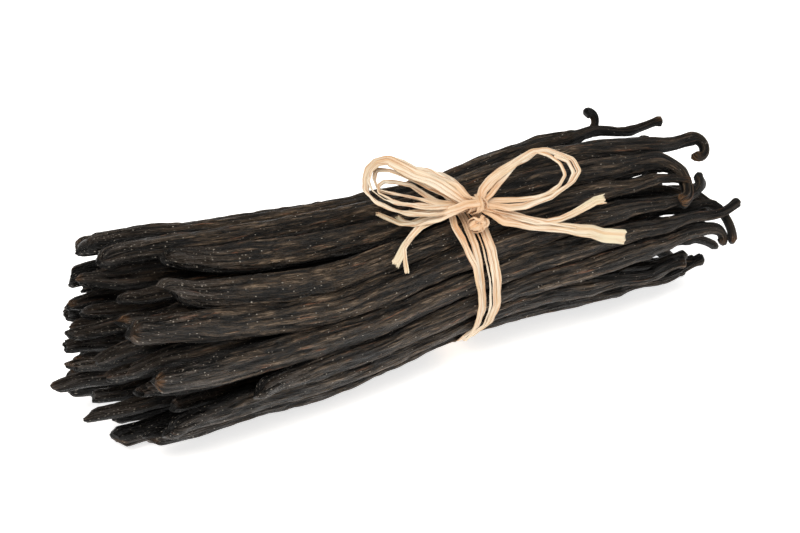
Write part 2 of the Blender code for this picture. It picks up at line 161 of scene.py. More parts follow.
# lift at the blunt tip, in the middle and at the stem end in degrees, x of the blunt tip and of the
# stem's start of bend in mm, then the bend: turn in degrees, run in mm, and the way as a lift
OUTER_PODS = (
    (121, 119, 113, -93, 58.5, 8, 12, 120), (86, 95, 80, -95, 72, 265, 10, -54),
    (78, 70, 66, -81, 53.5, 180, 22, -32), (54, 42, 47, -84, 57, 20, 7, -60),
    (36, 22, 31, -96.5, 61, 130, 9, 110), (8, 6, 14, -93, 66.5, 22, 11, 100),
    (-22, -13, 4, -67, 67, 140, 9, -70), (-29, -28, -27, -89, 52, 12, 9, 60),
    (-56, -54, -46, -91, 58, 16, 13, 112), (-80, -76, -72, -95, 40, 25, 14, 90),
    (-102, -98, -98, -92, 38, 60, 14, 100), (-124, -120, -122, -99, 44, 30, 16, 60),
    (-146, -143, -146, -93, 42, 90, 16, 30), (-168, -166, -170, -95, 38, 40, 16, 10),
    (165, 170, 154, -93, 44, 40, 10, 125), (138, 143, 124, -92, 49, 215, 9, 118),
)
INNER_PODS = (
    ((-40, -83), (-16, -94), (6, -101), (26, -103), (47, -95), (68, -93), (92, -100), (114, -97),
     (142, -94), (172, -97), (202, -97), (232, -100), (262, -98), (291, -102)),
    ((-50, -110), (5, -107), (62, -105), (112, -99), (172, -99), (240, -101)),
    ((30, -105),),
    ((-30, -86), (-52, -80), (14, -98), (-8, -92)),
)
RING_SHARES = (1, 0.65, 0.3, 0, 0.8)
MIDDLE_LIFT_X = -40 * MM
BLUNT_SWING = 55 * MM
STEM_SWING = 85 * MM
INNER_STEM_X = (50, 66)
INNER_STEM_RUN = (10, 19)
INNER_TURNS = (15, 40, 80, 130, 190)
INNER_MIDDLE_LEAN = 8
INNER_STEM_LEAN = 14
NECK_TAIL = 4 * MM
# Pods that stay thick for longer, by number and by how much in mm
LATE_NECKS = {1: 8, 2: 24, 6: 8}


def pod_plans():
    dice = random.Random(SEED)
    plans = []
    for blunt, middle, stem, start, end, turn, run, way in OUTER_PODS:
        plans.append({
            "ring": 0,
            "lifts": (blunt, middle, stem),
            "start": start * MM,
            "end": end * MM,
            "radius": POD_RADIUS * dice.uniform(0.93, 1.08),
            "turn": turn,
            "run": run * MM,
            "way": way,
        })
    for ring, row in enumerate(INNER_PODS, 1):
        for lift, start in row:
            plans.append({
                "ring": ring,
                "lifts": (
                    lift,
                    lift + dice.uniform(-INNER_MIDDLE_LEAN, INNER_MIDDLE_LEAN),
                    lift + dice.uniform(-INNER_STEM_LEAN, INNER_STEM_LEAN),
                ),
                "start": start * MM,
                "end": dice.uniform(*INNER_STEM_X) * MM,
                "radius": INNER_POD_RADIUS * dice.uniform(0.92, 1.08),
                "turn": dice.choice(INNER_TURNS),
                "run": dice.uniform(*INNER_STEM_RUN) * MM,
                "way": dice.uniform(0, 360),
            })
    for number, plan in enumerate(plans):
        plan["late"] = LATE_NECKS.get(number, 0) * MM
        plan["stem"] = STEM_RADIUS * dice.uniform(0.92, 1.25)
    return plans


def lift_at(plan, x):
    blunt, middle, stem = plan["lifts"]
    if x < MIDDLE_LIFT_X:
        return middle + (blunt - middle) * smoothstep((MIDDLE_LIFT_X - x) / BLUNT_SWING)
    return middle + (stem - middle) * smoothstep((x - MIDDLE_LIFT_X) / STEM_SWING)


def thickness(plan, travel):
    body = plan["end"] - plan["start"]
    tip = BLUNT_TIP_RADIUS if plan["ring"] else OUTER_TIP_RADIUS
    nose = tip + (plan["radius"] - tip) * smoothstep(travel / NOSE_RUN)
    neck = smoothstep((travel - plan["late"] - (body - NECK_RUN)) / (NECK_RUN + NECK_TAIL))
    return nose + (plan["stem"] - nose) * neck


PLANS = pod_plans()
print(len(PLANS), "pods,", sum(plan["ring"] == 0 for plan in PLANS), "of them outside")

# %% [markdown]
# A tied handful of pods packs itself: each pod is pushed aside by its neighbours until all of them
# only just touch. The same happens here on cross-sections every 5 mm. At each round, circles that
# overlap move apart, every circle is pulled a little towards its wanted place and towards its own
# places before and behind, and none may leave the girth.

# %% Packing the pods
STATION_STEP = 5 * MM
SETTLE_ROUNDS = 60
TOUCHING = 0.94
PUSH_APART = 0.3
PULL_HOME = 0.04
STRAIGHTEN = 0.2
NOSE_SPARE = 8 * MM


def settle(plans):
    first = min(plan["start"] for plan in plans)
    last = max(plan["end"] for plan in plans)
    stations = np.arange(first, last + STATION_STEP, STATION_STEP)
    count = len(plans)
    spots = np.zeros((len(stations), count, 2))
    sizes = np.zeros((len(stations), count))
    limit = np.zeros((len(stations), count))
    for row, x in enumerate(stations):
        for column, plan in enumerate(plans):
            x_in = min(max(x, plan["start"]), plan["end"])
            sizes[row, column] = thickness(plan, max(x_in - plan["start"], NOSE_SPARE))
            limit[row, column] = girth(x) - sizes[row, column]
            radius = limit[row, column] * RING_SHARES[plan["ring"]]
            angle = math.radians(lift_at(plan, x_in))
            spots[row, column] = (-radius * math.cos(angle), radius * math.sin(angle))
    wanted = spots.copy()
    reach = (sizes[:, :, None] + sizes[:, None, :]) * TOUCHING
    for _ in range(SETTLE_ROUNDS):
        apart = spots[:, :, None, :] - spots[:, None, :, :]
        distance = np.linalg.norm(apart, axis=3) + 1e-9
        overlap = np.clip(reach - distance, 0, None)
        overlap[:, range(count), range(count)] = 0
        spots += (apart / distance[..., None] * overlap[..., None] * PUSH_APART).sum(axis=2)
        spots += (wanted - spots) * PULL_HOME
        spots[1:-1] += (spots[:-2] + spots[2:] - 2 * spots[1:-1]) * STRAIGHTEN
        from_middle = np.linalg.norm(spots, axis=2) + 1e-9
        spots *= np.minimum(1, limit / from_middle)[..., None]
    return stations, spots


STATIONS, SPOTS = settle(PLANS)
print("packed", SPOTS.shape[1], "pods on", len(STATIONS), "cross-sections")

# %% [markdown]
# Each pod now gets its centre line: the body runs through its packed places, and the stem bends
# on from there with a tightening curl. Every point also carries how thick the pod is, which way
# is out of the bundle, and how much the pod is squashed there. The outward direction is carried
# along the curl without twisting, so that the skin doesn't wring itself at a tight hook. Some blunt
# ends have closed to a rounded tip, others are open and hollow, and some stems show a tan cut.

# %% Centre lines of the pods
BODY_STEPS = 60
BEND_STEPS = 14
# By number: pods whose blunt tip has closed, and pods whose stem end shows a tan cut
CLOSED_TIPS = (1, 2, 3, 6, 7)
TAN_STEMS = (1, 2)
HOOK_RUN = 15 * MM
KNOB_RUN = 1.6 * MM
KNOB_SWELL = 0.22
KNOB_PLACES = (7, 32)
WAVE = 0.45 * MM
WAVE_RUN = 3.2 * MM
# For the outer pods seen from the front, by number: how slantwise the blunt end is squashed, the
# lift that the slant faces, how far the end hooks in mm, and the lift it hooks to
TIPS = {
    0: (0.9, 85, 2.0, -80),
    1: (0.4, 85, 1.0, -60),
    2: (0.5, 60, 1.6, 85),
    3: (1.1, -60, 1.8, 95),
    4: (0.5, 60, 0.8, 70),
    5: (0.2, 10, 0.6, 60),
    6: (0.5, 60, 2.4, 5),
    7: (0.7, 40, 1.2, -60),
    8: (0.5, -40, 0.8, 60),
}


def carried(direction, heading):
    """The direction turned as little as possible, so that it stands square to the heading."""
    return (direction - heading * direction.dot(heading)).normalized()


def pod_line(number, plan, spots):
    dice = random.Random(SEED * 100 + number)
    points = []
    for index in range(BODY_STEPS + 1):
        x = plan["start"] + (plan["end"] - plan["start"]) * index / BODY_STEPS
        y = np.interp(x, STATIONS, spots[:, 0])
        z = np.interp(x, STATIONS, spots[:, 1])
        points.append(Vector((x, y, middle_height(x) + z)))
    outer = plan["ring"] == 0
    slant = (dice.uniform(0, 0.8), dice.uniform(0, 360), dice.uniform(0, 1.8), dice.uniform(0, 360))
    bevel, faces, hook, hook_way = TIPS.get(number, slant)
    thick = [thickness(plan, (point - points[0]).length) for point in points]
    start = points[0].copy()
    for point in points:
        near = max(0.0, 1 - (point - start).length / HOOK_RUN)
        point += outward(hook_way) * (hook * MM * near ** 2)
    heading = (points[-1] - points[-4]).normalized()
    axis = heading.cross(outward(plan["way"])).normalized()
    swell = dice.uniform(0.1, 0.5)
    body = plan["end"] - plan["start"]
    for index in range(BEND_STEPS):
        share = (index + 0.5) / BEND_STEPS
        angle = math.radians(plan["turn"]) * share ** 1.4
        direction = heading * math.cos(angle) + axis.cross(heading) * math.sin(angle)
        points.append(points[-1] + direction * plan["run"] / BEND_STEPS)
        end_swell = 1 + swell * smoothstep((share - 0.75) / 0.2)
        thick.append(thickness(plan, body + plan["run"] * share) * end_swell)
    travel = [0.0]
    for before, after in zip(points, points[1:]):
        travel.append(travel[-1] + (after - before).length)
    knots = [travel[-1] - dice.uniform(*KNOB_PLACES) * MM for _ in range(2)]
    phases = [dice.uniform(0, 6.28) for _ in range(2)]
    for index, (point, gone) in enumerate(zip(points, travel)):
        for knot in knots:
            thick[index] *= 1 + KNOB_SWELL * math.exp(-(((gone - knot) / KNOB_RUN) ** 2))
        slim = 1 - smoothstep((thick[index] - STEM_RADIUS) / (POD_RADIUS - STEM_RADIUS))
        point.y += WAVE * slim * math.sin(gone / WAVE_RUN + phases[0])
        point.z += WAVE * slim * math.sin(gone / WAVE_RUN + phases[1])
    thick = [size * SHRINK for size in thick]
    outs = []
    broad = []
    for index, point in enumerate(points):
        before = points[max(index - 1, 0)]
        after = points[min(index + 1, len(points) - 1)]
        heading = (after - before).normalized()
        out = away_from_middle(point) if index <= BODY_STEPS and outer else None
        if out is None:
            out = outs[-1] if outs else Vector((0, 0, 1))
        outs.append(carried(out, heading))
        fill = girth(point.x) / TIE_RADIUS if outer and point.x < 0 else 1.0
        broad.append(1 + (fill - 1) * 0.6)
    rim = 0.0 if number in CLOSED_TIPS else dice.choice((0.0, 0.3, 0.6, 0.9))
    cut = 1.0 if number in TAN_STEMS else dice.choice((0.0, 0.0, 0.4, 0.8))
    return {
        "points": points,
        "thick": thick,
        "out": outs,
        "broad": broad,
        "slant": [outward(faces) * bevel] * len(points),
        "number": [float(number)] * len(points),
        "hollow": [0.0 if number in CLOSED_TIPS else dice.choice((0.0, 0.7, 1.0))] * len(points),
        "blunt": [0.15 if number in CLOSED_TIPS else dice.uniform(0.25, 0.6)] * len(points),
        "tan": [rim if index < BODY_STEPS / 2 else cut for index in range(len(points))],
    }


POD_LINES = [pod_line(number, plan, SPOTS[:, number]) for number, plan in enumerate(PLANS)]
print("longest pod:", round(max(sum((b - a).length for a, b in zip(line["points"], line["points"][1:]))
                                for line in POD_LINES) / MM), "mm")

# %% [markdown]
# Node trees need the same few steps again and again: add a node, feed its inputs, take its output.
# A small helper keeps each tree readable. A value is either a number, which is set on the input,
# or another node's output, which is linked to it. In an input's name an underscore stands for a
# blank.

# %% Helpers for node trees


def feed(tree, socket, value):
    if isinstance(value, bpy.types.NodeSocket):
        tree.links.new(value, socket)
    else:
        socket.default_value = value


def add(tree, kind, *values, settings=None, **named):
    node = tree.nodes.new(kind)
    for name, value in (settings or {}).items():
        setattr(node, name, value)
    for index, value in enumerate(values):
        if value is not None:
            feed(tree, node.inputs[index], value)
    for name, value in named.items():
        feed(tree, node.inputs[name.replace("_", " ")], value)
    return node


def maths(tree, operation, *values):
    return add(tree, "ShaderNodeMath", *values, settings={"operation": operation}).outputs[0]


def vectors(tree, operation, *values):
    node = add(tree, "ShaderNodeVectorMath", *values, settings={"operation": operation})
    return node.outputs["Value" if operation in ("DOT_PRODUCT", "DISTANCE") else "Vector"]


def scaled(tree, vector, factor):
    node = add(tree, "ShaderNodeVectorMath", vector, settings={"operation": "SCALE"}, Scale=factor)
    return node.outputs["Vector"]


def remap(tree, value, low, high, to_low=0.0, to_high=1.0, smooth=True):
    kind = "SMOOTHSTEP" if smooth else "LINEAR"
    node = add(tree, "ShaderNodeMapRange", value, low, high, to_low, to_high,
               settings={"interpolation_type": kind})
    return node.outputs[0]


def stretched_noise(tree, grain, along, around, detail=2.0, roughness=0.5):
    """Noise whose blots are this long along the pod and this wide around it."""
    sizes = (1 / along, 1 / around, 1 / around)
    stretched = vectors(tree, "MULTIPLY", grain, sizes)
    noise = add(tree, "ShaderNodeTexNoise", Vector=stretched, Scale=1.0, Detail=detail,
                Roughness=roughness)
    return noise.outputs[0]


def valleys(tree, noise, width):
    """Thin valleys, from 0 down to -1, along the lines where the noise passes its middle."""
    away = maths(tree, "ABSOLUTE", maths(tree, "MULTIPLY_ADD", noise, 2.0, -1.0))
    return remap(tree, away, 0.0, width, -1.0, 0.0)


def new_tree(name, kind, inputs, outputs):
    """An empty node tree with named sockets. It comes back with its input and output nodes."""
    tree = bpy.data.node_groups.new(name, kind)
    for direction, sockets in (("INPUT", inputs), ("OUTPUT", outputs)):
        for title, socket_type, default in sockets:
            socket = tree.interface.new_socket(title, in_out=direction, socket_type=socket_type)
            if default is not None:
                socket.default_value = default
    return tree, tree.nodes.new("NodeGroupInput"), tree.nodes.new("NodeGroupOutput")


def named(tree, name, data_type="FLOAT"):
    node = add(tree, "GeometryNodeInputNamedAttribute", name, settings={"data_type": data_type})
    return node.outputs[0]


def store(tree, geometry, name, value, data_type="FLOAT"):
    node = add(tree, "GeometryNodeStoreNamedAttribute", geometry, None, name, value,
               settings={"data_type": data_type, "domain": "POINT"})
    return node.outputs[0]


print("helpers ready")

# %% [markdown]
# A cured pod is a shrunken tube: broad lumps, deep lengthwise furrows that wander a little, and
# fine wrinkles between them. One tree makes that skin for any set of centre lines. It sweeps a
# ring along each line, squashes it against the bundle, rounds both ends, and then moves the skin
# in and out by noise that is stretched along the pod. The noise reads a made-up place called
# grain, which is the pod pulled out straight, so furrows follow every bend. The tip is puckered
# unevenly. The tree keeps the grain, the depth of the relief, the distances from both ends and how
# far the skin faces outward as attributes, and the paint reads them later.

# %% The tree that grows a pod's skin
ROUND_NOSE = 1.7 * MM
ROUND_STEM = 1.0 * MM
NOSE_ZONE = 3.0 * MM
SLANT_ZONE = 9.0 * MM
PUCKER_ZONE = 7.0 * MM
PUCKER = 0.9
UNEVEN_TIP = 2.2 * MM
HOLLOW_RIM = 0.5 * MM
HOLLOW_DEPTH = 1.0 * MM
GRAIN_WANDER = 1.6 * MM
GRAIN_SPACING = 0.37
# Blots of the relief: how long each is along the pod, and how wide around it
LUMP_BLOT = (15 * MM, 5 * MM)
FURROW_BLOT = (38 * MM, 2.6 * MM)
CREASE_BLOT = (16 * MM, 1.3 * MM)
WRINKLE_BLOT = (8 * MM, 0.6 * MM)


def swept(tree, source, profile_sides, ring_spacing, size):
    """The lines turned into tubes, with the attributes that the later steps need."""
    curve = add(tree, "GeometryNodeMeshToCurve", source).outputs[0]
    curve = add(tree, "GeometryNodeResampleCurve", curve, settings={"mode": "LENGTH"},
                Length=ring_spacing).outputs[0]
    heading = add(tree, "GeometryNodeInputTangent").outputs[0]
    parameter = add(tree, "GeometryNodeSplineParameter")
    length = add(tree, "GeometryNodeSplineLength").outputs[0]
    left = maths(tree, "SUBTRACT", length, parameter.outputs["Length"])
    out = named(tree, "out", "FLOAT_VECTOR")
    lean = vectors(tree, "DOT_PRODUCT", out, heading)
    square = vectors(tree, "NORMALIZE", vectors(tree, "SUBTRACT", out, scaled(tree, heading, lean)))
    position = add(tree, "GeometryNodeInputPosition").outputs[0]
    curve = store(tree, curve, "out", square, "FLOAT_VECTOR")
    curve = store(tree, curve, "heading", heading, "FLOAT_VECTOR")
    curve = store(tree, curve, "middle", position, "FLOAT_VECTOR")
    curve = store(tree, curve, "along", parameter.outputs["Length"])
    curve = store(tree, curve, "left", left)
    curve = add(tree, "GeometryNodeSetCurveNormal", curve, settings={"mode": "FREE"},
                Normal=named(tree, "out", "FLOAT_VECTOR")).outputs[0]
    ring = add(tree, "GeometryNodeCurvePrimitiveCircle", profile_sides, Radius=1.0).outputs[0]
    ring = store(tree, ring, "section", position, "FLOAT_VECTOR")
    return add(tree, "GeometryNodeCurveToMesh", curve, ring, size, True).outputs[0]


def grown_pod_tree():
    tree, given, result = new_tree("pod_skin", "GeometryNodeTree", (
        ("Geometry", "NodeSocketGeometry", None),
        ("Sides", "NodeSocketInt", 60),
        ("Ring spacing", "NodeSocketFloat", 0.6 * MM),
        ("Squash", "NodeSocketFloat", 0.86),
        ("Lump depth", "NodeSocketFloat", 0.60 * MM),
        ("Furrow depth", "NodeSocketFloat", 0.45 * MM),
        ("Crease depth", "NodeSocketFloat", 0.30 * MM),
        ("Wrinkle depth", "NodeSocketFloat", 0.48 * MM),
        ("Seed", "NodeSocketFloat", 0.0),
        ("Material", "NodeSocketMaterial", None),
    ), (("Geometry", "NodeSocketGeometry", None),))
    need = given.outputs
    skin = swept(tree, need["Geometry"], need["Sides"], need["Ring spacing"], named(tree, "thick"))

    # The pod pulled out straight, each pod far from the next
    section = add(tree, "ShaderNodeSeparateXYZ", named(tree, "section", "FLOAT_VECTOR"))
    number = maths(tree, "ADD", named(tree, "number"), need["Seed"])
    travel = maths(tree, "MULTIPLY_ADD", number, GRAIN_SPACING, named(tree, "along"))
    grain = add(tree, "ShaderNodeCombineXYZ", travel,
                maths(tree, "MULTIPLY", section.outputs[0], POD_RADIUS),
                maths(tree, "MULTIPLY", section.outputs[1], POD_RADIUS)).outputs[0]
    wander = add(tree, "ShaderNodeTexNoise", Vector=vectors(tree, "MULTIPLY", grain, (60, 40, 40)),
                 Scale=1.0, Detail=1.0).outputs["Color"]
    wander = scaled(tree, vectors(tree, "SUBTRACT", wander, (0.5, 0.5, 0.5)), GRAIN_WANDER)
    grain = vectors(tree, "ADD", grain, vectors(tree, "MULTIPLY", wander, (0, 1, 1)))
    skin = store(tree, skin, "grain", grain, "FLOAT_VECTOR")
    grain = named(tree, "grain", "FLOAT_VECTOR")
    skin = store(tree, skin, "crest", section.outputs[0])

    # Squash towards the bundle, and swell sideways where there is room
    position = add(tree, "GeometryNodeInputPosition").outputs[0]
    middle = named(tree, "middle", "FLOAT_VECTOR")
    out = named(tree, "out", "FLOAT_VECTOR")
    heading = named(tree, "heading", "FLOAT_VECTOR")
    offset = vectors(tree, "SUBTRACT", position, middle)
    out_part = vectors(tree, "DOT_PRODUCT", offset, out)
    broad = named(tree, "broad")
    flatter = maths(tree, "SUBTRACT", need["Squash"], broad)
    body = remap(tree, named(tree, "thick"), STEM_RADIUS * 1.1, POD_RADIUS * 0.8)
    flatter = maths(tree, "MULTIPLY", flatter, body)
    offset = vectors(
        tree, "ADD", scaled(tree, offset, broad),
        scaled(tree, out, maths(tree, "MULTIPLY", out_part, flatter)),
    )

    # Round both ends, with the rings crowded towards the nose. The nose is squashed slantwise, and
    # it may be hollow, where the flower has dropped off
    along = named(tree, "along")
    share = add(tree, "ShaderNodeClamp", maths(tree, "DIVIDE", along, NOSE_ZONE)).outputs[0]
    crowded = maths(tree, "MULTIPLY", maths(tree, "POWER", share, 1.7), NOSE_ZONE)
    crowd = maths(tree, "SUBTRACT", crowded, maths(tree, "MULTIPLY", share, NOSE_ZONE))
    slant = vectors(tree, "DOT_PRODUCT", offset, named(tree, "slant", "FLOAT_VECTOR"))
    slant = maths(tree, "MULTIPLY", slant, remap(tree, along, 0, SLANT_ZONE, 1, 0))
    reach = remap(tree, named(tree, "blunt"), 0.15, 0.6, ROUND_NOSE * 1.9, ROUND_NOSE, smooth=False)
    nose = remap(tree, crowded, 0, reach, 1, 0, smooth=False)
    pucker = add(tree, "ShaderNodeCombineXYZ", number, maths(tree, "MULTIPLY", section.outputs[0], 1.3),
                 maths(tree, "MULTIPLY", section.outputs[1], 1.3)).outputs[0]
    pucker = add(tree, "ShaderNodeTexNoise", Vector=pucker, Scale=1.0, Detail=2.0).outputs["Color"]
    pucker = vectors(tree, "SUBTRACT", pucker, (0.5, 0.5, 0.5))
    pucker = add(tree, "ShaderNodeSeparateXYZ", pucker).outputs
    tip = remap(tree, along, 0, PUCKER_ZONE, 1, 0)
    stub = remap(tree, named(tree, "left"), 0, ROUND_STEM, 1, 0, smooth=False)
    rounding = 1.0
    for end, low in ((nose, named(tree, "blunt")), (stub, 0.5)):
        dome = maths(tree, "SQRT", maths(tree, "SUBTRACT", 1.0, maths(tree, "POWER", end, 2.4)))
        rounding = maths(tree, "MULTIPLY", rounding, maths(tree, "MAXIMUM", dome, low))
    squeeze = maths(tree, "MULTIPLY_ADD", maths(tree, "MULTIPLY", pucker[0], tip), PUCKER, 1.0)
    rounding = maths(tree, "MULTIPLY", rounding, squeeze)
    sunk = remap(tree, crowded, 0, HOLLOW_RIM, HOLLOW_DEPTH, 0)
    sunk = maths(tree, "MULTIPLY", sunk, named(tree, "hollow"))
    uneven = maths(tree, "MULTIPLY", maths(tree, "MULTIPLY", pucker[1], tip), UNEVEN_TIP)
    shift = maths(tree, "ADD", maths(tree, "ADD", sunk, crowd), maths(tree, "ADD", slant, uneven))
    shift = scaled(tree, heading, shift)

    # Relief: lumps, then furrows as the thin dark lines of a ridged noise, then wrinkles
    size = maths(tree, "MULTIPLY_ADD", named(tree, "thick"), 0.65 / POD_RADIUS, 0.35)
    lumps = maths(tree, "SUBTRACT", stretched_noise(tree, grain, *LUMP_BLOT, 1.0), 0.5)
    furrow = valleys(tree, stretched_noise(tree, grain, *FURROW_BLOT, 1.0), 0.22)
    crease = valleys(tree, stretched_noise(tree, grain, *CREASE_BLOT, 1.0), 0.30)
    wrinkle = stretched_noise(tree, grain, *WRINKLE_BLOT, 2.0)
    wrinkle = maths(tree, "SUBTRACT", wrinkle, 0.5)
    depth = maths(tree, "MULTIPLY", lumps, maths(tree, "MULTIPLY", need["Lump depth"], 2.0))
    for noise, socket in ((furrow, "Furrow depth"), (crease, "Crease depth"), (wrinkle, "Wrinkle depth")):
        depth = maths(tree, "MULTIPLY_ADD", noise, need[socket], depth)
    relief = maths(tree, "MULTIPLY_ADD", furrow, 0.5, 0.8)
    relief = maths(tree, "MULTIPLY_ADD", crease, 0.3, relief)
    skin = store(tree, skin, "relief", maths(tree, "MULTIPLY_ADD", wrinkle, 0.9, relief))
    depth = maths(tree, "MULTIPLY", depth, size)
    away = vectors(tree, "NORMALIZE", offset)
    place_now = vectors(tree, "ADD", middle, scaled(tree, offset, rounding))
    depth = maths(tree, "MULTIPLY", depth, rounding)
    place_now = vectors(tree, "ADD", place_now, scaled(tree, away, depth))
    place_now = vectors(tree, "ADD", place_now, shift)
    skin = add(tree, "GeometryNodeSetPosition", skin, Position=place_now).outputs[0]
    skin = add(tree, "GeometryNodeSetShadeSmooth", skin).outputs[0]
    skin = add(tree, "GeometryNodeRealizeInstances", skin).outputs[0]
    skin = add(tree, "GeometryNodeSetMaterial", skin, Material=need["Material"]).outputs[0]
    tree.links.new(skin, result.inputs[0])
    return tree


POD_TREE = grown_pod_tree()
print("pod tree:", len(POD_TREE.nodes), "nodes")

# %% [markdown]
# The centre lines go into Blender as a mesh of bare edges, one chain for each line, with the
# thickness and the other facts stored on the points. The tree turns the chains into curves. The
# result is read back as a plain mesh, the modifier goes, and the piece moves to its place in the
# frame by its mesh, so that its object stays at the origin.

# %% From lines to a plain mesh
VECTOR_FACTS = ("out", "slant")
SPARE_FACTS = (
    "out", "heading", "middle", "section", "thick", "broad", "hollow", "blunt", "slant", "wide", "thin",
    "torn", "number",
)


def lines_mesh(name, lines):
    points = [point for line in lines for point in line["points"]]
    edges = []
    start = 0
    for line in lines:
        count = len(line["points"])
        edges += [(start + index, start + index + 1) for index in range(count - 1)]
        if line.get("closed"):
            edges.append((start + count - 1, start))
        start += count
    mesh = bpy.data.meshes.new(name)
    mesh.from_pydata(points, edges, [])
    for fact in lines[0]:
        if fact in ("points", "closed"):
            continue
        values = [value for line in lines for value in line[fact]]
        if fact in VECTOR_FACTS:
            layer = mesh.attributes.new(fact, "FLOAT_VECTOR", "POINT")
            layer.data.foreach_set("vector", [part for value in values for part in value])
        else:
            layer = mesh.attributes.new(fact, "FLOAT", "POINT")
            layer.data.foreach_set("value", values)
    return mesh


def grown(name, lines, tree, material, **values):
    """The tree's result on these lines, as one plain mesh object in its place in the frame."""
    source = bpy.data.objects.new(name + "_lines", lines_mesh(name, lines))
    bpy.context.scene.collection.objects.link(source)
    modifier = source.modifiers.new("grow", "NODES")
    modifier.node_group = tree
    sockets = {item.name: item.identifier for item in tree.interface.items_tree if item.in_out == "INPUT"}
    for title, value in {**values, "Material": material}.items():
        modifier[sockets[title.replace("_", " ")]] = value
    graph = bpy.context.evaluated_depsgraph_get()
    mesh = bpy.data.meshes.new_from_object(source.evaluated_get(graph))
    bpy.data.objects.remove(source)
    for spare in SPARE_FACTS:
        if spare in mesh.attributes:
            mesh.attributes.remove(mesh.attributes[spare])
    mesh.transform(Matrix.Translation(TIE))
    piece = bpy.data.objects.new(name, mesh)
    bpy.context.scene.collection.objects.link(piece)
    return piece


print("ready to grow pieces")

# %% [markdown]
# Two effects are small shader groups. One makes a streak pattern that runs along the grain, for
# pods and raffia alike. The other scatters small flecks on the pods as painted glints, and lets only
# a share of them show. Both are fed the grain attribute, so they bend with the piece.

# %% Paint effects as groups


def fibre_group():
    tree, given, result = new_tree("fibres", "ShaderNodeTree", (
        ("Grain", "NodeSocketVector", None),
        ("Length", "NodeSocketFloat", 14 * MM),
        ("Width", "NodeSocketFloat", 0.5 * MM),
        ("Detail", "NodeSocketFloat", 3.0),
    ), (("Fibre", "NodeSocketFloat", None),))
    need = given.outputs
    width = maths(tree, "DIVIDE", 1.0, need["Width"])
    sizes = add(tree, "ShaderNodeCombineXYZ", maths(tree, "DIVIDE", 1.0, need["Length"]), width, width)
    stretched = vectors(tree, "MULTIPLY", need["Grain"], sizes.outputs[0])
    noise = add(tree, "ShaderNodeTexNoise", Vector=stretched, Scale=1.0, Detail=need["Detail"],
                Roughness=0.6)
    tree.links.new(noise.outputs[0], result.inputs[0])
    return tree


def fleck_group():
    tree, given, result = new_tree("flecks", "ShaderNodeTree", (
        ("Grain", "NodeSocketVector", None),
        ("Spacing", "NodeSocketFloat", 1.0 * MM),
        ("Size", "NodeSocketFloat", 0.2),
        ("Share", "NodeSocketFloat", 0.2),
    ), (("Mask", "NodeSocketFloat", None),))
    need = given.outputs
    spread = scaled(tree, need["Grain"], maths(tree, "DIVIDE", 1.0, need["Spacing"]))
    spread = vectors(tree, "MULTIPLY", spread, (0.6, 1, 1))
    cells = add(tree, "ShaderNodeTexVoronoi", Vector=spread, Scale=1.0)
    dot = remap(tree, cells.outputs["Distance"], need["Size"], maths(tree, "MULTIPLY", need["Size"], 0.6))
    chance = add(tree, "ShaderNodeSeparateXYZ", cells.outputs["Color"]).outputs[0]
    shown = maths(tree, "LESS_THAN", chance, need["Share"])
    tree.links.new(maths(tree, "MULTIPLY", dot, shown), result.inputs[0])
    return tree


FIBRES = fibre_group()
FLECKS = fleck_group()


def fibres(tree, grain, length, width, detail=3.0):
    node = add(tree, "ShaderNodeGroup", settings={"node_tree": FIBRES}, Grain=grain, Length=length,
               Width=width, Detail=detail)
    return node.outputs[0]


def flecks(tree, grain, spacing, size, share):
    node = add(tree, "ShaderNodeGroup", settings={"node_tree": FLECKS}, Grain=grain, Spacing=spacing,
               Size=size, Share=share)
    return node.outputs[0]


def fact(tree, name, vector=False):
    node = add(tree, "ShaderNodeAttribute", settings={"attribute_name": name})
    return node.outputs["Vector" if vector else "Fac"]


def mixed(tree, factor, first, second):
    node = add(tree, "ShaderNodeMix", settings={"data_type": "RGBA"})
    for index, value in ((0, factor), (6, first), (7, second)):
        feed(tree, node.inputs[index], value)
    return node.outputs[2]


def new_material(name):
    material = bpy.data.materials.new(name)
    material.use_nodes = True
    return material, material.node_tree, material.node_tree.nodes["Principled BSDF"]


def bumped(tree, height, distance, strength=1.0):
    return add(tree, "ShaderNodeBump", Strength=strength, Distance=distance, Height=height).outputs[0]


print("groups:", FIBRES.name, FLECKS.name)

# %% [markdown]
# A cured pod is a very dark brown with an oily shine. The furrows are nearly black, partly from
# the skin's own streaks and partly from painted shade read off the relief. The ridges between them
# are lighter, partly their own tone and partly a painted highlight on the side that faces out of the
# bundle, with a few rusty streaks and tiny painted glints, which crowd at the blunt end. The blunt
# ends are shinier and carry a painted bluish-grey sheen, and some rims and stem cuts are tan. The
# skin also gets painted shade where it turns in towards the neighbouring pods.

# %% Pod paint
# DEEP is near black: the darkest skin, and also the painted shade in the furrows, between the pods and on the
# core
DEEP = (0.0020, 0.0014, 0.0010, 1)
SKIN = (0.041, 0.0270, 0.0155, 1)
RIDGE_AND_HIGHLIGHT = (0.250, 0.176, 0.114, 1)
RUST = (0.24, 0.070, 0.022, 1)
BLUISH_SHEEN = (0.064, 0.064, 0.067, 1)
TAN = (0.27, 0.13, 0.050, 1)
GLINT = (0.60, 0.54, 0.46, 1)
# Streaks of the paint: how long each is along the pod, and how wide around it
STREAK_SIZE = (5 * MM, 0.45 * MM)
FINE_SIZE = (1.8 * MM, 0.24 * MM)
BLOTCH_SIZE = (20 * MM, 6 * MM)
LINE_SIZE = (7 * MM, 0.55 * MM)
RUST_SIZE = (16 * MM, 0.8 * MM)
GRIT_SIZE = (0.9 * MM, 0.30 * MM)
GLINT_SPACING = 0.55 * MM
GLINT_SIZE = 0.28
TIP_FADE = (24 * MM, 3 * MM)


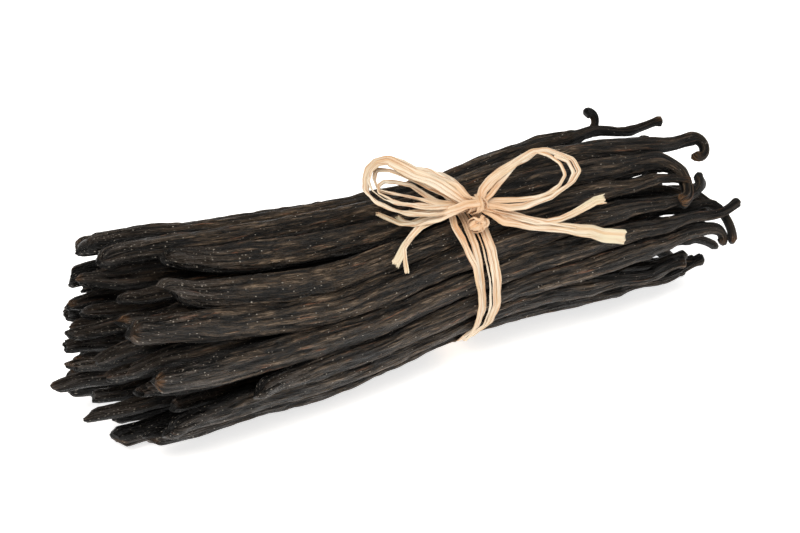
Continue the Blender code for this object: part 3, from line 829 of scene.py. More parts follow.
def pod_material():
    material, tree, shader = new_material("pod_skin")
    grain = fact(tree, "grain", vector=True)
    relief = fact(tree, "relief")
    streak = fibres(tree, grain, *STREAK_SIZE)
    fine = fibres(tree, grain, *FINE_SIZE, 2.0)
    blotch = fibres(tree, grain, *BLOTCH_SIZE, 2.0)
    lines = valleys(tree, fibres(tree, grain, *LINE_SIZE, 2.0), 0.25)
    # The tone mixes the skin's own streaks with the relief depth, so the furrows also get painted shade
    tone = maths(tree, "MULTIPLY_ADD", streak, 0.60, maths(tree, "MULTIPLY", relief, 0.60))
    tone = maths(tree, "MULTIPLY_ADD", fine, 0.65, tone)
    tone = maths(tree, "MULTIPLY_ADD", blotch, 0.4, tone)
    tone = maths(tree, "MULTIPLY_ADD", lines, 0.22, tone)
    crest = fact(tree, "crest")
    colour = mixed(tree, remap(tree, tone, 0.76, 1.14), DEEP, SKIN)
    along = fact(tree, "along")
    tip = remap(tree, along, *TIP_FADE)
    # Partly the skin's own lighter streaks, partly a painted highlight: the raised relief grows lighter, more
    # on the side facing out of the bundle and less near the blunt end
    outer = remap(tree, crest, -0.2, 0.7, 0.4, 1.0)
    ridge_and_highlight = maths(tree, "MULTIPLY", remap(tree, tone, 1.06, 1.56), outer)
    ridge_and_highlight = maths(tree, "MULTIPLY", ridge_and_highlight, maths(tree, "MULTIPLY_ADD", tip, -0.6, 1.0))
    colour = mixed(tree, ridge_and_highlight, colour, RIDGE_AND_HIGHLIGHT)
    rust = fibres(tree, grain, *RUST_SIZE, 2.0)
    rust = maths(tree, "MULTIPLY", remap(tree, rust, 0.60, 0.72), remap(tree, tone, 0.95, 1.25))
    colour = mixed(tree, maths(tree, "MULTIPLY", rust, 0.55), colour, RUST)
    # Painted sheen: a bluish-grey tint on the lighter streaks of the blunt end stands for cool reflected
    # light
    tip_sheen = maths(tree, "MULTIPLY", tip, remap(tree, tone, 0.9, 1.4))
    colour = mixed(tree, maths(tree, "MULTIPLY", tip_sheen, 0.65), colour, BLUISH_SHEEN)
    rim = remap(tree, along, 2.4 * MM, 0.8 * MM)
    stub = remap(tree, fact(tree, "left"), 3 * MM, 0.2 * MM)
    worn = maths(tree, "MULTIPLY", maths(tree, "MAXIMUM", rim, stub), fact(tree, "tan"))
    worn = maths(tree, "MULTIPLY", worn, remap(tree, streak, 0.42, 0.6))
    colour = mixed(tree, maths(tree, "MULTIPLY", worn, 0.8), colour, TAN)
    # Painted shade: the skin goes towards near black where it turns in towards the neighbouring pods
    colour = mixed(tree, remap(tree, crest, -0.15, 0.45), DEEP, colour)
    # Painted glints: small bright flecks, crowded at the blunt end
    share = maths(tree, "MULTIPLY_ADD", tip, 0.36, 0.08)
    glint = flecks(tree, grain, GLINT_SPACING, GLINT_SIZE, share)
    colour = mixed(tree, maths(tree, "MULTIPLY", glint, 0.6), colour, GLINT)
    tree.links.new(colour, shader.inputs["Base Color"])
    rough = remap(tree, streak, 0.3, 0.7, 0.36, 0.58)
    rough = maths(tree, "MULTIPLY_ADD", tip, -0.14, rough)
    tree.links.new(rough, shader.inputs["Roughness"])
    shader.inputs["Specular IOR Level"].default_value = 0.42
    grit = fibres(tree, grain, *GRIT_SIZE, 2.0)
    height = maths(tree, "MULTIPLY_ADD", fine, 0.5, streak)
    height = maths(tree, "MULTIPLY_ADD", lines, 0.5, height)
    grit = maths(tree, "MULTIPLY", grit, maths(tree, "MULTIPLY_ADD", tip, 0.5, 0.45))
    height = maths(tree, "ADD", grit, height)
    tree.links.new(bumped(tree, height, 0.8 * MM), shader.inputs["Normal"])
    return material


def shade_core_material():
    # Painted shade: a near-black core that stands for the shadow deep inside the bundle
    material, _, shader = new_material("pod_shade_core")
    shader.inputs["Base Color"].default_value = DEEP
    shader.inputs["Roughness"].default_value = 0.7
    return material


POD_SKIN = pod_material()
SHADE_CORE = shade_core_material()
print("pod paint:", len(POD_SKIN.node_tree.nodes), "nodes")

# %% [markdown]
# The pods are the main thing to see, so those outside are drawn finely, in four groups of
# neighbours. The ones inside show only their ends and a glimpse between the others, so they are
# coarser. A smaller, dark core stands behind them all as painted shade, where in a real bundle the
# light is lost.

# %% Grow the pods
FINE_SIDES = 60
COARSE_SIDES = 30
GROUPS = {
    "pods_top": (0, 1, 2, 3),
    "pods_front": (4, 5, 6, 7),
    "pods_under": (8, 9, 10, 11),
    "pods_back": (12, 13, 14, 15),
    "pods_inner": tuple(range(16, 41)),
}
CORE_X = (-56, 34)


def triangles(piece):
    return sum(len(face.vertices) - 2 for face in piece.data.polygons)


def finish_piece(piece, slot, *nodes):
    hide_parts(*nodes)
    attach(piece, "root")
    print(piece.name, triangles(piece), "triangles")


def grow_pods():
    pieces = []
    for name, members in GROUPS.items():
        inner = name == "pods_inner"
        lines = [POD_LINES[number] for number in members]
        pieces.append(grown(
            name, lines, POD_TREE, POD_SKIN,
            Sides=COARSE_SIDES if inner else FINE_SIDES,
            Ring_spacing=(1.3 if inner else 0.6) * MM,
        ))
        finish_piece(pieces[-1], "pod", "pod_bundle")
    return pieces


def grow_core():
    points = [Vector((x * MM, 0, middle_height(x * MM))) for x in range(CORE_X[0], CORE_X[1] + 1, 4)]
    count = len(points)
    line = {
        "points": points,
        "thick": [girth(point.x) - 2.1 * POD_RADIUS for point in points],
        "out": [Vector((0, 0, 1))] * count,
        "broad": [1.0] * count,
        "slant": [Vector((0, 0, 0))] * count,
        "number": [50.0] * count,
        "hollow": [0.0] * count,
        "blunt": [0.5] * count,
        "tan": [0.0] * count,
    }
    core = grown("pod_shade_core", [line], POD_TREE, SHADE_CORE, Sides=40, Ring_spacing=2 * MM, Squash=1.0,
                 Lump_depth=0.2 * MM, Furrow_depth=0.0, Crease_depth=0.0, Wrinkle_depth=0.0)
    finish_piece(core, "pod", "pod_bundle")


PODS = grow_pods()
grow_core()

# %% [markdown]
# Raffia is a strip of palm leaf, dried until it pleats lengthwise. It folds sharply rather than
# bending, its edges curl, and its width comes and goes. One tree makes every strip. It sweeps a
# ring along the line and opens it flat, so the strip has two faces and thin edges, and then
# folds it into pleats that wander along its length. A knot's core is a strip too, but thick.

# %% The tree that folds raffia
RAFFIA_RING = 1.0 * MM


def folded_raffia_tree():
    tree, given, result = new_tree("raffia_strip", "GeometryNodeTree", (
        ("Geometry", "NodeSocketGeometry", None),
        ("Sides", "NodeSocketInt", 40),
        ("Ring spacing", "NodeSocketFloat", 0.35 * MM),
        ("Pleat width", "NodeSocketFloat", 0.62 * MM),
        ("Pleat depth", "NodeSocketFloat", 0.46 * MM),
        ("Curl", "NodeSocketFloat", 0.35),
        ("Material", "NodeSocketMaterial", None),
    ), (("Geometry", "NodeSocketGeometry", None),))
    need = given.outputs
    skin = swept(tree, need["Geometry"], need["Sides"], need["Ring spacing"], RAFFIA_RING)

    # Open the ring flat: across runs from -1 to 1 over the strip, face from -1 to 1 through it
    section = add(tree, "ShaderNodeSeparateXYZ", named(tree, "section", "FLOAT_VECTOR"))
    across = maths(tree, "MULTIPLY", maths(tree, "ARCSINE", section.outputs[1]), 2 / math.pi)
    face = maths(tree, "MULTIPLY", section.outputs[0], 2.4)
    face = add(tree, "ShaderNodeClamp", face, -1.0, 1.0).outputs[0]
    number = named(tree, "number")
    along = named(tree, "along")
    travel = maths(tree, "MULTIPLY_ADD", number, 0.173, along)
    wide = named(tree, "wide")
    slow = add(tree, "ShaderNodeCombineXYZ", maths(tree, "DIVIDE", travel, 7 * MM)).outputs[0]
    breath = add(tree, "ShaderNodeTexNoise", Vector=slow, Scale=1.0, Detail=1.0)
    parts = add(tree, "ShaderNodeSeparateXYZ", breath.outputs["Color"]).outputs
    wide = maths(tree, "MULTIPLY", wide, maths(tree, "MULTIPLY_ADD", parts[0], 0.5, 0.78))
    aside = maths(tree, "MULTIPLY", across, wide)
    grain = add(tree, "ShaderNodeCombineXYZ", travel, aside, maths(tree, "MULTIPLY", face, 0.1 * MM))
    skin = store(tree, skin, "grain", grain.outputs[0], "FLOAT_VECTOR")
    grain = named(tree, "grain", "FLOAT_VECTOR")

    # Pleats wander across as they run, and come and go in depth
    wander = stretched_noise(tree, grain, 11 * MM, 3 * MM, 1.0)
    fold = maths(tree, "DIVIDE", maths(tree, "SUBTRACT", add(
        tree, "ShaderNodeSeparateXYZ", grain).outputs[1], -20 * MM), need["Pleat width"])
    fold = maths(tree, "PINGPONG", maths(tree, "MULTIPLY_ADD", wander, 5.0, fold), 1.0)
    depth = maths(tree, "MULTIPLY", need["Pleat depth"], remap(tree, parts[1], 0.3, 0.7, 0.45, 1.2))
    crinkle = stretched_noise(tree, grain, 1.6 * MM, 0.7 * MM, 2.0)
    relief = maths(tree, "MULTIPLY_ADD", crinkle, 0.5, fold)
    skin = store(tree, skin, "relief", fold)
    curl = maths(tree, "MULTIPLY", maths(tree, "MULTIPLY", across, across), wide)
    curl = maths(tree, "MULTIPLY", curl, maths(tree, "MULTIPLY", need["Curl"],
                                               maths(tree, "SUBTRACT", parts[2], 0.4)))
    thin = named(tree, "thin")
    pleated = maths(tree, "MINIMUM", maths(tree, "MULTIPLY", maths(tree, "SUBTRACT", relief, 0.75), depth),
                    1 * MM)
    rise = maths(tree, "ADD", maths(tree, "MULTIPLY_ADD", face, thin, curl), pleated)
    out = named(tree, "out", "FLOAT_VECTOR")
    heading = named(tree, "heading", "FLOAT_VECTOR")
    side = vectors(tree, "CROSS_PRODUCT", heading, out)
    spot = vectors(tree, "ADD", named(tree, "middle", "FLOAT_VECTOR"), scaled(tree, side, aside))
    spot = vectors(tree, "ADD", spot, scaled(tree, out, rise))

    # A torn end: each fibre stops at its own place
    torn = stretched_noise(tree, grain, 60 * MM, 0.5 * MM, 1.0)
    near = remap(tree, named(tree, "left"), 2.5 * MM, 0.0)
    back = maths(tree, "MULTIPLY", maths(tree, "MULTIPLY", torn, near),
                 maths(tree, "MULTIPLY", named(tree, "torn"), 2.2 * MM))
    spot = vectors(tree, "SUBTRACT", spot, scaled(tree, heading, back))
    skin = add(tree, "GeometryNodeSetPosition", skin, Position=spot).outputs[0]
    skin = add(tree, "GeometryNodeSetShadeSmooth", skin).outputs[0]
    skin = add(tree, "GeometryNodeRealizeInstances", skin).outputs[0]
    skin = add(tree, "GeometryNodeSetMaterial", skin, Material=need["Material"]).outputs[0]
    tree.links.new(skin, result.inputs[0])
    return tree


RAFFIA_TREE = folded_raffia_tree()
print("raffia tree:", len(RAFFIA_TREE.nodes), "nodes")

# %% [markdown]
# Dried raffia is a pale straw colour with fine lengthwise fibres. The creases are warmer and
# darker, partly from darker fibre lines and partly from painted shade in the pleat grooves. The torn
# ends keep a trace of green, and close to the knots the strips turn warmer with painted bounce light.

# %% Raffia paint
STRAW = (0.64, 0.46, 0.285, 1)
PALE = (0.76, 0.67, 0.54, 1)
CREASE = (0.50, 0.22, 0.08, 1)
GREEN = (0.68, 0.60, 0.43, 1)
KNOT_BOUNCE_LIGHT = (0.66, 0.40, 0.22, 1)
KNOT_REACH = 14 * MM
KNOT_PLACE = tuple(TIE + place(0, 54, girth(0) + 3 * MM))


def raffia_material():
    material, tree, shader = new_material("raffia")
    grain = fact(tree, "grain", vector=True)
    fine = fibres(tree, grain, 9 * MM, 0.16 * MM)
    broad = fibres(tree, grain, 18 * MM, 0.9 * MM)
    blend = maths(tree, "MULTIPLY_ADD", broad, 0.8, maths(tree, "MULTIPLY", fine, 0.6))
    colour = mixed(tree, remap(tree, blend, 0.54, 0.82), STRAW, PALE)
    # Painted bounce light: the strips turn warmer and more orange close to the knots
    here = add(tree, "ShaderNodeTexCoord").outputs["Object"]
    away = vectors(tree, "DISTANCE", here, KNOT_PLACE)
    near = remap(tree, away, KNOT_REACH, 0.3 * KNOT_REACH)
    colour = mixed(tree, maths(tree, "MULTIPLY", near, 0.6), colour, KNOT_BOUNCE_LIGHT)
    # Partly darker fibre lines, partly painted shade: the pleat grooves of the fold relief turn darker and
    # warmer
    crease = maths(tree, "MULTIPLY", remap(tree, fact(tree, "relief"), 0.30, 0.0),
                   remap(tree, broad, 0.36, 0.56))
    line = remap(tree, fibres(tree, grain, 14 * MM, 0.5 * MM, 2.0), 0.56, 0.63)
    crease = maths(tree, "MAXIMUM", crease, maths(tree, "MULTIPLY", line, 0.8))
    colour = mixed(tree, maths(tree, "MULTIPLY", crease, 0.8), colour, CREASE)
    green = remap(tree, fact(tree, "green"), 0.0, 1.0)
    colour = mixed(tree, maths(tree, "MULTIPLY", green, remap(tree, broad, 0.35, 0.6)), colour, GREEN)
    tree.links.new(colour, shader.inputs["Base Color"])
    shader.inputs["Roughness"].default_value = 0.62
    tree.links.new(bumped(tree, fine, 0.10 * MM), shader.inputs["Normal"])
    return material


RAFFIA = raffia_material()
print("raffia paint:", len(RAFFIA.node_tree.nodes), "nodes")

# %% [markdown]
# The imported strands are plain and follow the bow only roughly. Here each bunch is drawn again,
# strip by strip, at closer range. Raffia doesn't bend smoothly: each route is cut into short
# straight runs that are knocked a little out of line, and a loop's strips roll over on the way.

# %% Routes of the strips
# For each piece its strips: widths in mm at even steps along the strip, whether its end is free,
# and its route as x in mm, lift in degrees and height over the girth in mm
STRIPS = {
    "loop_left_outer": (
        ((1.6, 2.8, 3.4, 3.0, 2.2, 1.9, 2.0, 2.4, 2.6, 2.2), 0, (
            (0, 58, 5.0), (-4.5, 62, 6.2), (-7, 69, 7.5), (-11, 76, 8.8), (-14.5, 82, 9.6), (-16.5, 90, 10.6),
            (-21.5, 90, 10.6), (-24.5, 85, 10.2), (-27, 79, 9.4), (-27.5, 74, 8.4), (-26, 70, 7.6),
            (-19.5, 64, 5.8), (-14, 61, 5.0), (-8, 60, 4.6), (-2.5, 59, 4.6),
        )),
        ((0.8, 1.5, 1.8, 1.2, 0.9, 1.0, 1.3, 1.4, 1.0), 0, (
            (0, 59, 5.4), (-3.5, 64, 6.6), (-5, 72, 7.8), (-9, 79, 8.8), (-13, 85, 9.8), (-16, 91, 11.0),
            (-20, 92, 10.6), (-25, 84, 9.8), (-26, 77, 9.0), (-25, 72, 8.4), (-21, 69, 7.4), (-15, 65, 6.2),
            (-9, 62, 5.2), (-4, 60, 4.8),
        )),
    ),
    "loop_left_inner": (
        ((1.2, 1.0, 0.9, 1.3, 2.0, 2.4, 1.8), 0, (
            (-2, 60, 4.6), (-5.5, 63, 5.2), (-8, 69, 6), (-12, 77, 7), (-15.5, 84, 8), (-18, 90, 8.6),
            (-20.5, 91, 8.6), (-22.5, 86, 8), (-23, 79, 7.2), (-20.5, 76, 6.4), (-14.5, 72, 5.4),
            (-10, 66, 4.8), (-4, 61, 4.6),
        )),
        ((1.6, 1.3, 1.1, 1.0, 1.3, 1.6, 1.6), 0, (
            (-3, 61, 2.6), (-9, 70, 2.8), (-10.5, 77, 3.4), (-13, 84, 4.4), (-16, 87, 5.4), (-20.5, 85, 6.6),
            (-24, 79, 7.4), (-23, 74, 6.8), (-19.5, 70, 6), (-13.5, 66, 5), (-4, 60, 4.4),
        )),
    ),
    "loop_right_outer": (
        ((2.0, 2.6, 2.2, 1.5, 1.3, 1.2, 1.3, 1.5, 1.9, 2.1, 1.6), 0, (
            (0, 58, 5.2), (2, 62, 6.2), (5.5, 67, 6.9), (11, 70, 7.6), (16, 72, 7.6), (21, 73, 7.4),
            (24, 68, 7.2), (27, 64, 7), (28, 58, 6.6), (26, 53, 6.2), (23.5, 51, 5.8), (19, 49, 5.2),
            (14, 49, 4.6), (9.5, 49, 4.2), (5.5, 53, 4), (1, 57, 4.4),
        )),
        ((1.0, 0.9, 0.7, 0.6), 0, (
            (23.5, 67.5, 6.9), (26.4, 62.5, 6.6), (26.8, 57, 6.0), (24.5, 52, 5.4), (19, 50, 4.8),
            (13, 50.5, 4.2),
        )),
    ),
    "loop_right_inner": (
        ((1.2, 1.6, 1.2, 1.0, 0.8, 0.9, 1.3, 1.7, 1.4), 0, (
            (1, 58, 4.8), (4, 60, 5.6), (8, 65, 6.2), (12, 69, 6.8), (16.5, 71, 7), (21, 73, 7.2),
            (22.5, 68, 6.8), (24.5, 62, 6.2), (24.5, 58, 5.6), (23.5, 54, 5), (18, 51, 4.4), (11.5, 53, 4),
            (7, 57, 3.8), (1.5, 58, 4.2),
        )),
    ),
    "tail_left_upper": (
        ((1.9, 2.3, 2.6, 2.8, 2.2, 1.5, 1.4, 1.5), 1, (
            (-0.5, 57, 6.6), (-4, 58, 6.4), (-7.5, 58, 5.4), (-11.5, 59, 4.0), (-15.5, 60, 2.9),
            (-19, 62, 2.4), (-22, 67, 2), (-24, 72, 2), (-25.5, 75, 2.4),
        )),
        ((0.8, 1.3, 1.4, 1.5), 1, ((-13.5, 59.5, 3.1), (-17, 61, 2.6), (-19.2, 65, 2.2), (-20.5, 71, 2.4))),
    ),
    "tail_left_lower": (
        ((1.4, 2.0, 2.2, 1.8, 1.5, 1.9, 2.2), 1, (
            (-2.5, 58, 5), (-8.5, 58, 4.2), (-13, 59, 3.0), (-17, 57, 2.2), (-21, 52, 1.7), (-24.5, 45, 1.5),
            (-27, 40, 1.6),
        )),
        ((0.6, 1.0, 1.1, 1.2), 1, ((-19.5, 54, 2.0), (-22.3, 48, 1.7), (-23.5, 41, 1.5), (-24, 33, 1.8))),
    ),
    "tail_right_upper": (
        ((2.2, 1.8, 1.4, 1.3, 1.6, 2.0, 2.4), 1, (
            (1, 56, 4.6), (6.5, 50, 2.8), (11, 44, 2.1), (15.5, 39, 1.9), (19.5, 37, 1.7), (25.5, 38, 1.8),
            (30, 40, 1.9), (34.6, 40.5, 2.4),
        )),
    ),
    "tail_right_lower": (
        ((2.0, 2.6, 2.4, 2.2, 2.6, 3.2, 3.6, 3.6), 1, (
            (0.5, 56, 4.2), (5, 48, 2.4), (10, 41, 1.6), (16, 35, 1.4), (21.5, 30, 1.3), (27, 25, 1.4),
            (32.5, 20, 1.5), (38, 16, 1.8),
        )),
        ((0.8, 1.2, 0.9, 0.6), 0, (
            (1.5, 56, 3.6), (7, 47, 2.2), (13.5, 39.5, 1.9), (20, 33, 1.7), (24, 29, 1.6),
        )),
    ),
    "band_strand_slant": (
        ((2.0, 1.9, 1.6, 1.3, 1.1, 1.1, 1.2, 1.2, 1.2), 0, (
            (-6.8, 60, 3.0), (-7, 52, 1.6), (-6.2, 40, 1.2), (-5.2, 28, 1.1), (-4.5, 17, 1.0), (-4.1, 3, 0.8),
            (-4.1, -12, 0.6), (-4.5, -28, 0.4), (-5.0, -40, 0.2),
        )),
    ),
}
SAMPLES_PER_SPAN = 4
KINK_STEP = 3.6 * MM
KINK = 0.30 * MM
HALF_THIN = 0.11 * MM


def smooth_route(points):
    route = []
    for index in range(len(points) - 1):
        before = points[max(index - 1, 0)]
        start, end = points[index], points[index + 1]
        after = points[min(index + 2, len(points) - 1)]
        for step in range(SAMPLES_PER_SPAN):
            t = step / SAMPLES_PER_SPAN
            route.append(0.5 * (
                2 * start + (end - before) * t
                + (2 * before - 5 * start + 4 * end - after) * t * t
                + (3 * start - before - 3 * end + after) * t ** 3
            ))
    route.append(points[-1])
    return route


def resampled(route, step):
    """Points evenly spaced along a route, both ends kept."""
    travel = [0.0]
    for before, after in zip(route, route[1:]):
        travel.append(travel[-1] + (after - before).length)
    count = max(2, round(travel[-1] / step))
    wanted = np.linspace(0, travel[-1], count + 1)
    columns = [np.interp(wanted, travel, [point[axis] for point in route]) for axis in range(3)]
    return [Vector(point) for point in zip(*columns)]


def strip_facts(number, points, outs, widths, free=0.0):
    """Facts of one strip: where it runs, which way its face looks, and how wide it is."""
    count = len(points)
    steps = np.linspace(0, 1, len(widths))
    end = [smoothstep((index / (count - 1) - 0.45) / 0.5) for index in range(count)]
    return {
        "points": points,
        "out": outs,
        "wide": [float(np.interp(index / (count - 1), steps, widths)) * MM / 2 for index in range(count)],
        "thin": [HALF_THIN] * count,
        "number": [float(number)] * count,
        "torn": [float(free)] * count,
        "green": [free * share for share in end],
    }


def facing_out(points, roll=0.0):
    """Directions square to the run that face out of the bundle, rolled over half way along."""
    outs = []
    for index, point in enumerate(points):
        before = points[max(index - 1, 0)]
        after = points[min(index + 1, len(points) - 1)]
        heading = (after - before).normalized()
        share = index / (len(points) - 1)
        turn = Matrix.Rotation(roll * math.sin(math.pi * share), 3, heading)
        outs.append(turn @ carried(away_from_middle(point), heading))
    return outs


def kinked(route, number):
    """The route as short straight runs, knocked out of line."""
    dice = random.Random(number)
    points = resampled(route, KINK_STEP)
    for index in range(1, len(points) - 1):
        points[index] += Vector([dice.uniform(-KINK, KINK) for _ in range(3)])
    return resampled(points, KINK_STEP / 4)


def strip_route(spots):
    return smooth_route([place(x * MM, lift, girth(x * MM) + height * MM) for x, lift, height in spots])


# %% [markdown]
# The loops and the long tails are free cords in the frame's terms, and flat ones. Each is as long
# as its first strip, and starts at the bow knot. The width listed for each in CORD_WIDTHS is a round
# figure for the whole bunch. The strips together reach it at their widest, except in the two inner
# loops, where they stay narrower: 4.0 mm at the left and 1.7 mm at the right. The left tails are too
# short to be cords.

# %% Loops and tails
# A torn end falls short of its line, so a tail's path leaves out this many points
TORN_POINTS = 2
CORD_WIDTHS = {
    "loop_left_outer": 4.6, "loop_left_inner": 4.4, "loop_right_outer": 3.6, "loop_right_inner": 2.4,
    "tail_right_upper": 2.4, "tail_right_lower": 3.6,
}
ROLLS = {"loop_left_outer": -0.5, "loop_left_inner": -0.7, "loop_right_outer": 0.6, "loop_right_inner": 0.4}


def run_length(points):
    return sum((after - before).length for before, after in zip(points, points[1:]))


def add_free_strands():
    for number, (name, strips) in enumerate(STRIPS.items()):
        lines = []
        for index, (widths, free, spots) in enumerate(strips):
            strip_number = 100 + 4 * number + index
            points = kinked(strip_route(spots), strip_number)
            outs = facing_out(points, ROLLS.get(name, 0.0))
            lines.append(strip_facts(strip_number, points, outs, widths, free))
        piece = grown("raffia_" + name, lines, RAFFIA_TREE, RAFFIA)
        finish_piece(piece, "raffia", name)
        if name in CORD_WIDTHS:
            path = [point + TIE for point in lines[0]["points"]]
            if not name.startswith("loop"):
                path = path[:-TORN_POINTS]
            print("  cord of", round(run_length(path) / MM), "mm")


add_free_strands()

# %% [markdown]
# The band is drawn tight, so it runs straight across the furrows between neighbouring pods. Its
# route is the convex outline of the pods under it, like a rubber band stretched round them.

# %% The band round the bundle
BAND_STRANDS = {
    # strips by x from the tie, widths on the way round, and how far each bows to the right, in mm
    "band_strand_left": ((-2.6, (2.1, 1.8, 2.2, 1.9, 2.1), 0.1),),
    "band_strand_middle": ((-1.0, (0.5, 0.7, 0.5, 0.6, 0.5), 0.8),),
    "band_strand_right": ((0.5, (1.4, 1.6, 1.3, 1.5, 1.4), 0.7), (1.8, (1.3, 1.2, 1.5, 1.3, 1.3), 0.5)),
}
GATHER = 1.6
CLEAR = 0.40 * MM


def pods_tree():
    shape = bmesh.new()
    for piece in PODS:
        shape.from_mesh(piece.data)
    bmesh.ops.translate(shape, verts=shape.verts, vec=-TIE)
    tree = BVHTree.FromBMesh(shape)
    shape.free()
    return tree


def taut_ring(tree, x, width):
    found = []
    for index in range(120):
        lift = 3 * index
        reach = 0
        for shift in (-0.6, -0.2, 0.2, 0.6):
            start = place(x + shift * width, lift, 60 * MM)
            hit = tree.ray_cast(start, -outward(lift))[0]
            if hit is not None:
                reach = max(reach, math.hypot(hit.y, hit.z - middle_height(hit.x)))
        point = place(x, lift, reach)
        found.append((point.y, point.z))
    middle = Vector((0, middle_height(x)))
    corners = [Vector(found[index]) for index in convex_hull_2d(found)]
    corners = [corner + (corner - middle).normalized() * CLEAR for corner in corners]
    return [Vector((x, corner.x, corner.y)) for corner in corners]


def band_line(number, tree, x, widths, bow):
    """One strip of the band. It bows to the right in front and is gathered to the left below."""
    ring = taut_ring(tree, x * MM, max(widths) * MM)
    points = resampled(ring + ring[:1], 1.2 * MM)[:-1]
    dice = random.Random(number)
    for point in points:
        away = away_from_middle(point)
        lift = math.degrees(math.atan2(away.z, -away.y))
        front = math.exp(-(((lift - 5) / 38) ** 2))
        below = math.exp(-(((lift + 58) / 26) ** 2))
        point.x += (bow * front - GATHER * below + dice.uniform(-0.06, 0.06)) * MM
    outs = [away_from_middle(point) for point in points]
    return {**strip_facts(number, points, outs, widths), "closed": True}


def add_band():
    tree = pods_tree()
    number = 140
    for name, strips in BAND_STRANDS.items():
        lines = []
        for x, widths, bow in strips:
            lines.append(band_line(number, tree, x, widths, bow))
            number += 1
        piece = grown("raffia_" + name, lines, RAFFIA_TREE, RAFFIA)
        finish_piece(piece, "raffia", name)


add_band()

# %% [markdown]
# A knot is a tight bunch of strip with a few turns wrapped over it. The bunch is one short thick
# strip, and every turn is a closed strip that leans its own way.

# %% The two knots
# Each knot: its middle as x in mm, lift in degrees and height over the girth in mm; the half
# sides of its core along x, across and outward; then its turns. A turn has its shift along x, its
# lean, its width, and its half sides across and outward, all in mm, and its tilt in degrees
KNOTS = {
    "bow_knot": (-0.3, 58.5, 4.4, (2.6, 1.5, 1.3), (
        (-0.9, 0.5, 1.7, 2.1, 1.9, 8), (0.5, -0.4, 1.5, 2.2, 2.1, -14), (1.7, 0.2, 0.9, 1.8, 1.6, 20),
        (-2.0, 0.3, 0.8, 1.6, 1.5, -25),
    )),
    "band_knot": (-0.9, 48.5, 2.2, (2.6, 1.5, 1.0), (
        (-0.6, 0.9, 1.4, 1.9, 1.4, 30), (1.0, -0.7, 1.2, 2.0, 1.4, -35), (0.3, 0.2, 1.0, 1.4, 1.6, 65),
        (1.9, 0.4, 1.0, 1.2, 1.1, -10),
    )),
}
TURN_POINTS = 18
CRUMPLE = 0.22


def knot_core(number, middle, across, out, sides):
    half_x, half_across, half_out = sides
    points = [middle + Vector((half_x * MM * share, 0, 0)) for share in (-1, -0.6, -0.2, 0.2, 0.6, 1)]
    widths = [2 * half_across * size for size in (0.5, 0.9, 1, 1, 0.9, 0.5)]
    core = strip_facts(number, points, [out] * len(points), widths)
    core["thin"] = [half_out * MM * size for size in (0.5, 0.9, 1, 1, 0.9, 0.5)]
    return core


def knot_turn(number, middle, across, out, facts):
    shift, lean, width, half_across, half_out, tilt = facts
    dice = random.Random(number)
    points = []
    outs = []
    twist = Matrix.Rotation(math.radians(tilt), 3, out)
    for index in range(TURN_POINTS):
        angle = 2 * math.pi * index / TURN_POINTS
        aside = across * (half_across * math.cos(angle)) + out * (half_out * math.sin(angle))
        aside = twist @ (aside + Vector((lean * math.sin(angle), 0, 0)))
        aside *= dice.uniform(1 - CRUMPLE / 2, 1 + CRUMPLE / 2)
        points.append(middle + Vector((shift * MM, 0, 0)) + aside * MM)
        outs.append(aside.normalized())
    widths = [width * dice.uniform(0.75, 1.15) for _ in range(5)]
    turn = strip_facts(number, points, outs, widths + widths[:1])
    return {**turn, "closed": True}


def joined(first, second):
    """Two pieces made one, under the first one's name."""
    shape = bmesh.new()
    shape.from_mesh(first.data)
    shape.from_mesh(second.data)
    shape.to_mesh(first.data)
    shape.free()
    bpy.data.objects.remove(second)
    return first


def add_knots():
    for order, (name, (x, lift, height, sides, turns)) in enumerate(KNOTS.items()):
        number = 160 + 10 * order
        middle = place(x * MM, lift, girth(x * MM) + height * MM)
        across, out = outward(lift + 90), outward(lift)
        core = knot_core(number, middle, across, out, sides)
        wraps = [
            knot_turn(number + 1 + index, middle, across, out, facts)
            for index, facts in enumerate(turns)
        ]
        piece = grown("raffia_" + name, [core], RAFFIA_TREE, RAFFIA)
        piece = joined(piece, grown(name + "_turns", wraps, RAFFIA_TREE, RAFFIA))
        finish_piece(piece, "raffia", name)


add_knots()

# %% [markdown]
# The set is a plain pale floor under soft light. A lamp hangs close by, above and to the left. A
# larger one further off fills from the right more weakly, and the pale sky does the rest. The
# floor glows strongly, like a light table, so that the shadows on it stay faint.

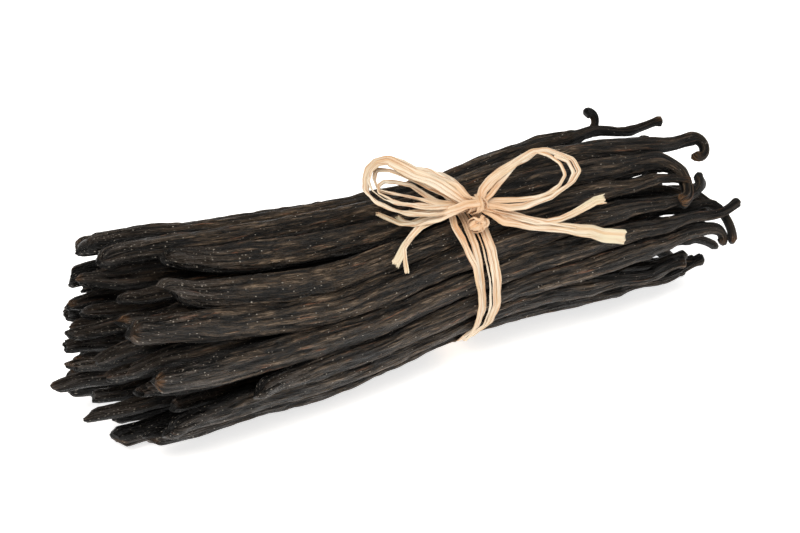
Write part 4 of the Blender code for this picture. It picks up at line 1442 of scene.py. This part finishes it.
# %% Floor and light
FLOOR_HALF = 3.0
WARM = (1.0, 0.95, 0.88)
NEUTRAL = (1.0, 0.98, 0.95)
LAMPS = (
    # azimuth, elevation, distance, size, watts, colour
    (-52, 52, 0.75, 0.40, 4.2, WARM),
    (50, 60, 1.2, 0.6, 5.0, NEUTRAL),
)
SKY = (1.0, 0.985, 0.96, 1)
SKY_STRENGTH = 0.30
FLOOR_GLOW = 0.70


def add_floor():
    mesh = bpy.data.meshes.new("floor")
    corners = [(-FLOOR_HALF, -FLOOR_HALF, 0), (FLOOR_HALF, -FLOOR_HALF, 0),
               (FLOOR_HALF, FLOOR_HALF, 0), (-FLOOR_HALF, FLOOR_HALF, 0)]
    mesh.from_pydata(corners, [], [(0, 1, 2, 3)])
    material, _, shader = new_material("floor")
    shader.inputs["Base Color"].default_value = (0.95, 0.95, 0.95, 1)
    shader.inputs["Roughness"].default_value = 0.9
    shader.inputs["Emission Color"].default_value = (1, 1, 1, 1)
    shader.inputs["Emission Strength"].default_value = FLOOR_GLOW
    mesh.materials.append(material)
    floor = bpy.data.objects.new("floor", mesh)
    bpy.context.scene.collection.objects.link(floor)


def add_lamps():
    for index, (azimuth, elevation, distance, size, watts, colour) in enumerate(LAMPS):
        turn, rise = math.radians(azimuth), math.radians(elevation)
        toward = Vector((math.sin(turn) * math.cos(rise), -math.cos(turn) * math.cos(rise), math.sin(rise)))
        lamp = bpy.data.objects.new(f"lamp_{index}", bpy.data.lights.new(f"lamp_{index}", "AREA"))
        lamp.data.size = size
        lamp.data.energy = watts
        lamp.data.color = colour
        lamp.location = toward * distance
        lamp.rotation_euler = toward.to_track_quat("Z", "Y").to_euler()
        bpy.context.scene.collection.objects.link(lamp)


def add_sky():
    world = bpy.data.worlds.new("sky")
    bpy.context.scene.world = world
    world.use_nodes = True
    backdrop = world.node_tree.nodes["Background"]
    backdrop.inputs["Color"].default_value = SKY
    backdrop.inputs["Strength"].default_value = SKY_STRENGTH


add_floor()
add_lamps()
add_sky()
bpy.context.scene.view_settings.view_transform = "Standard"
print("lamps:", len(LAMPS))
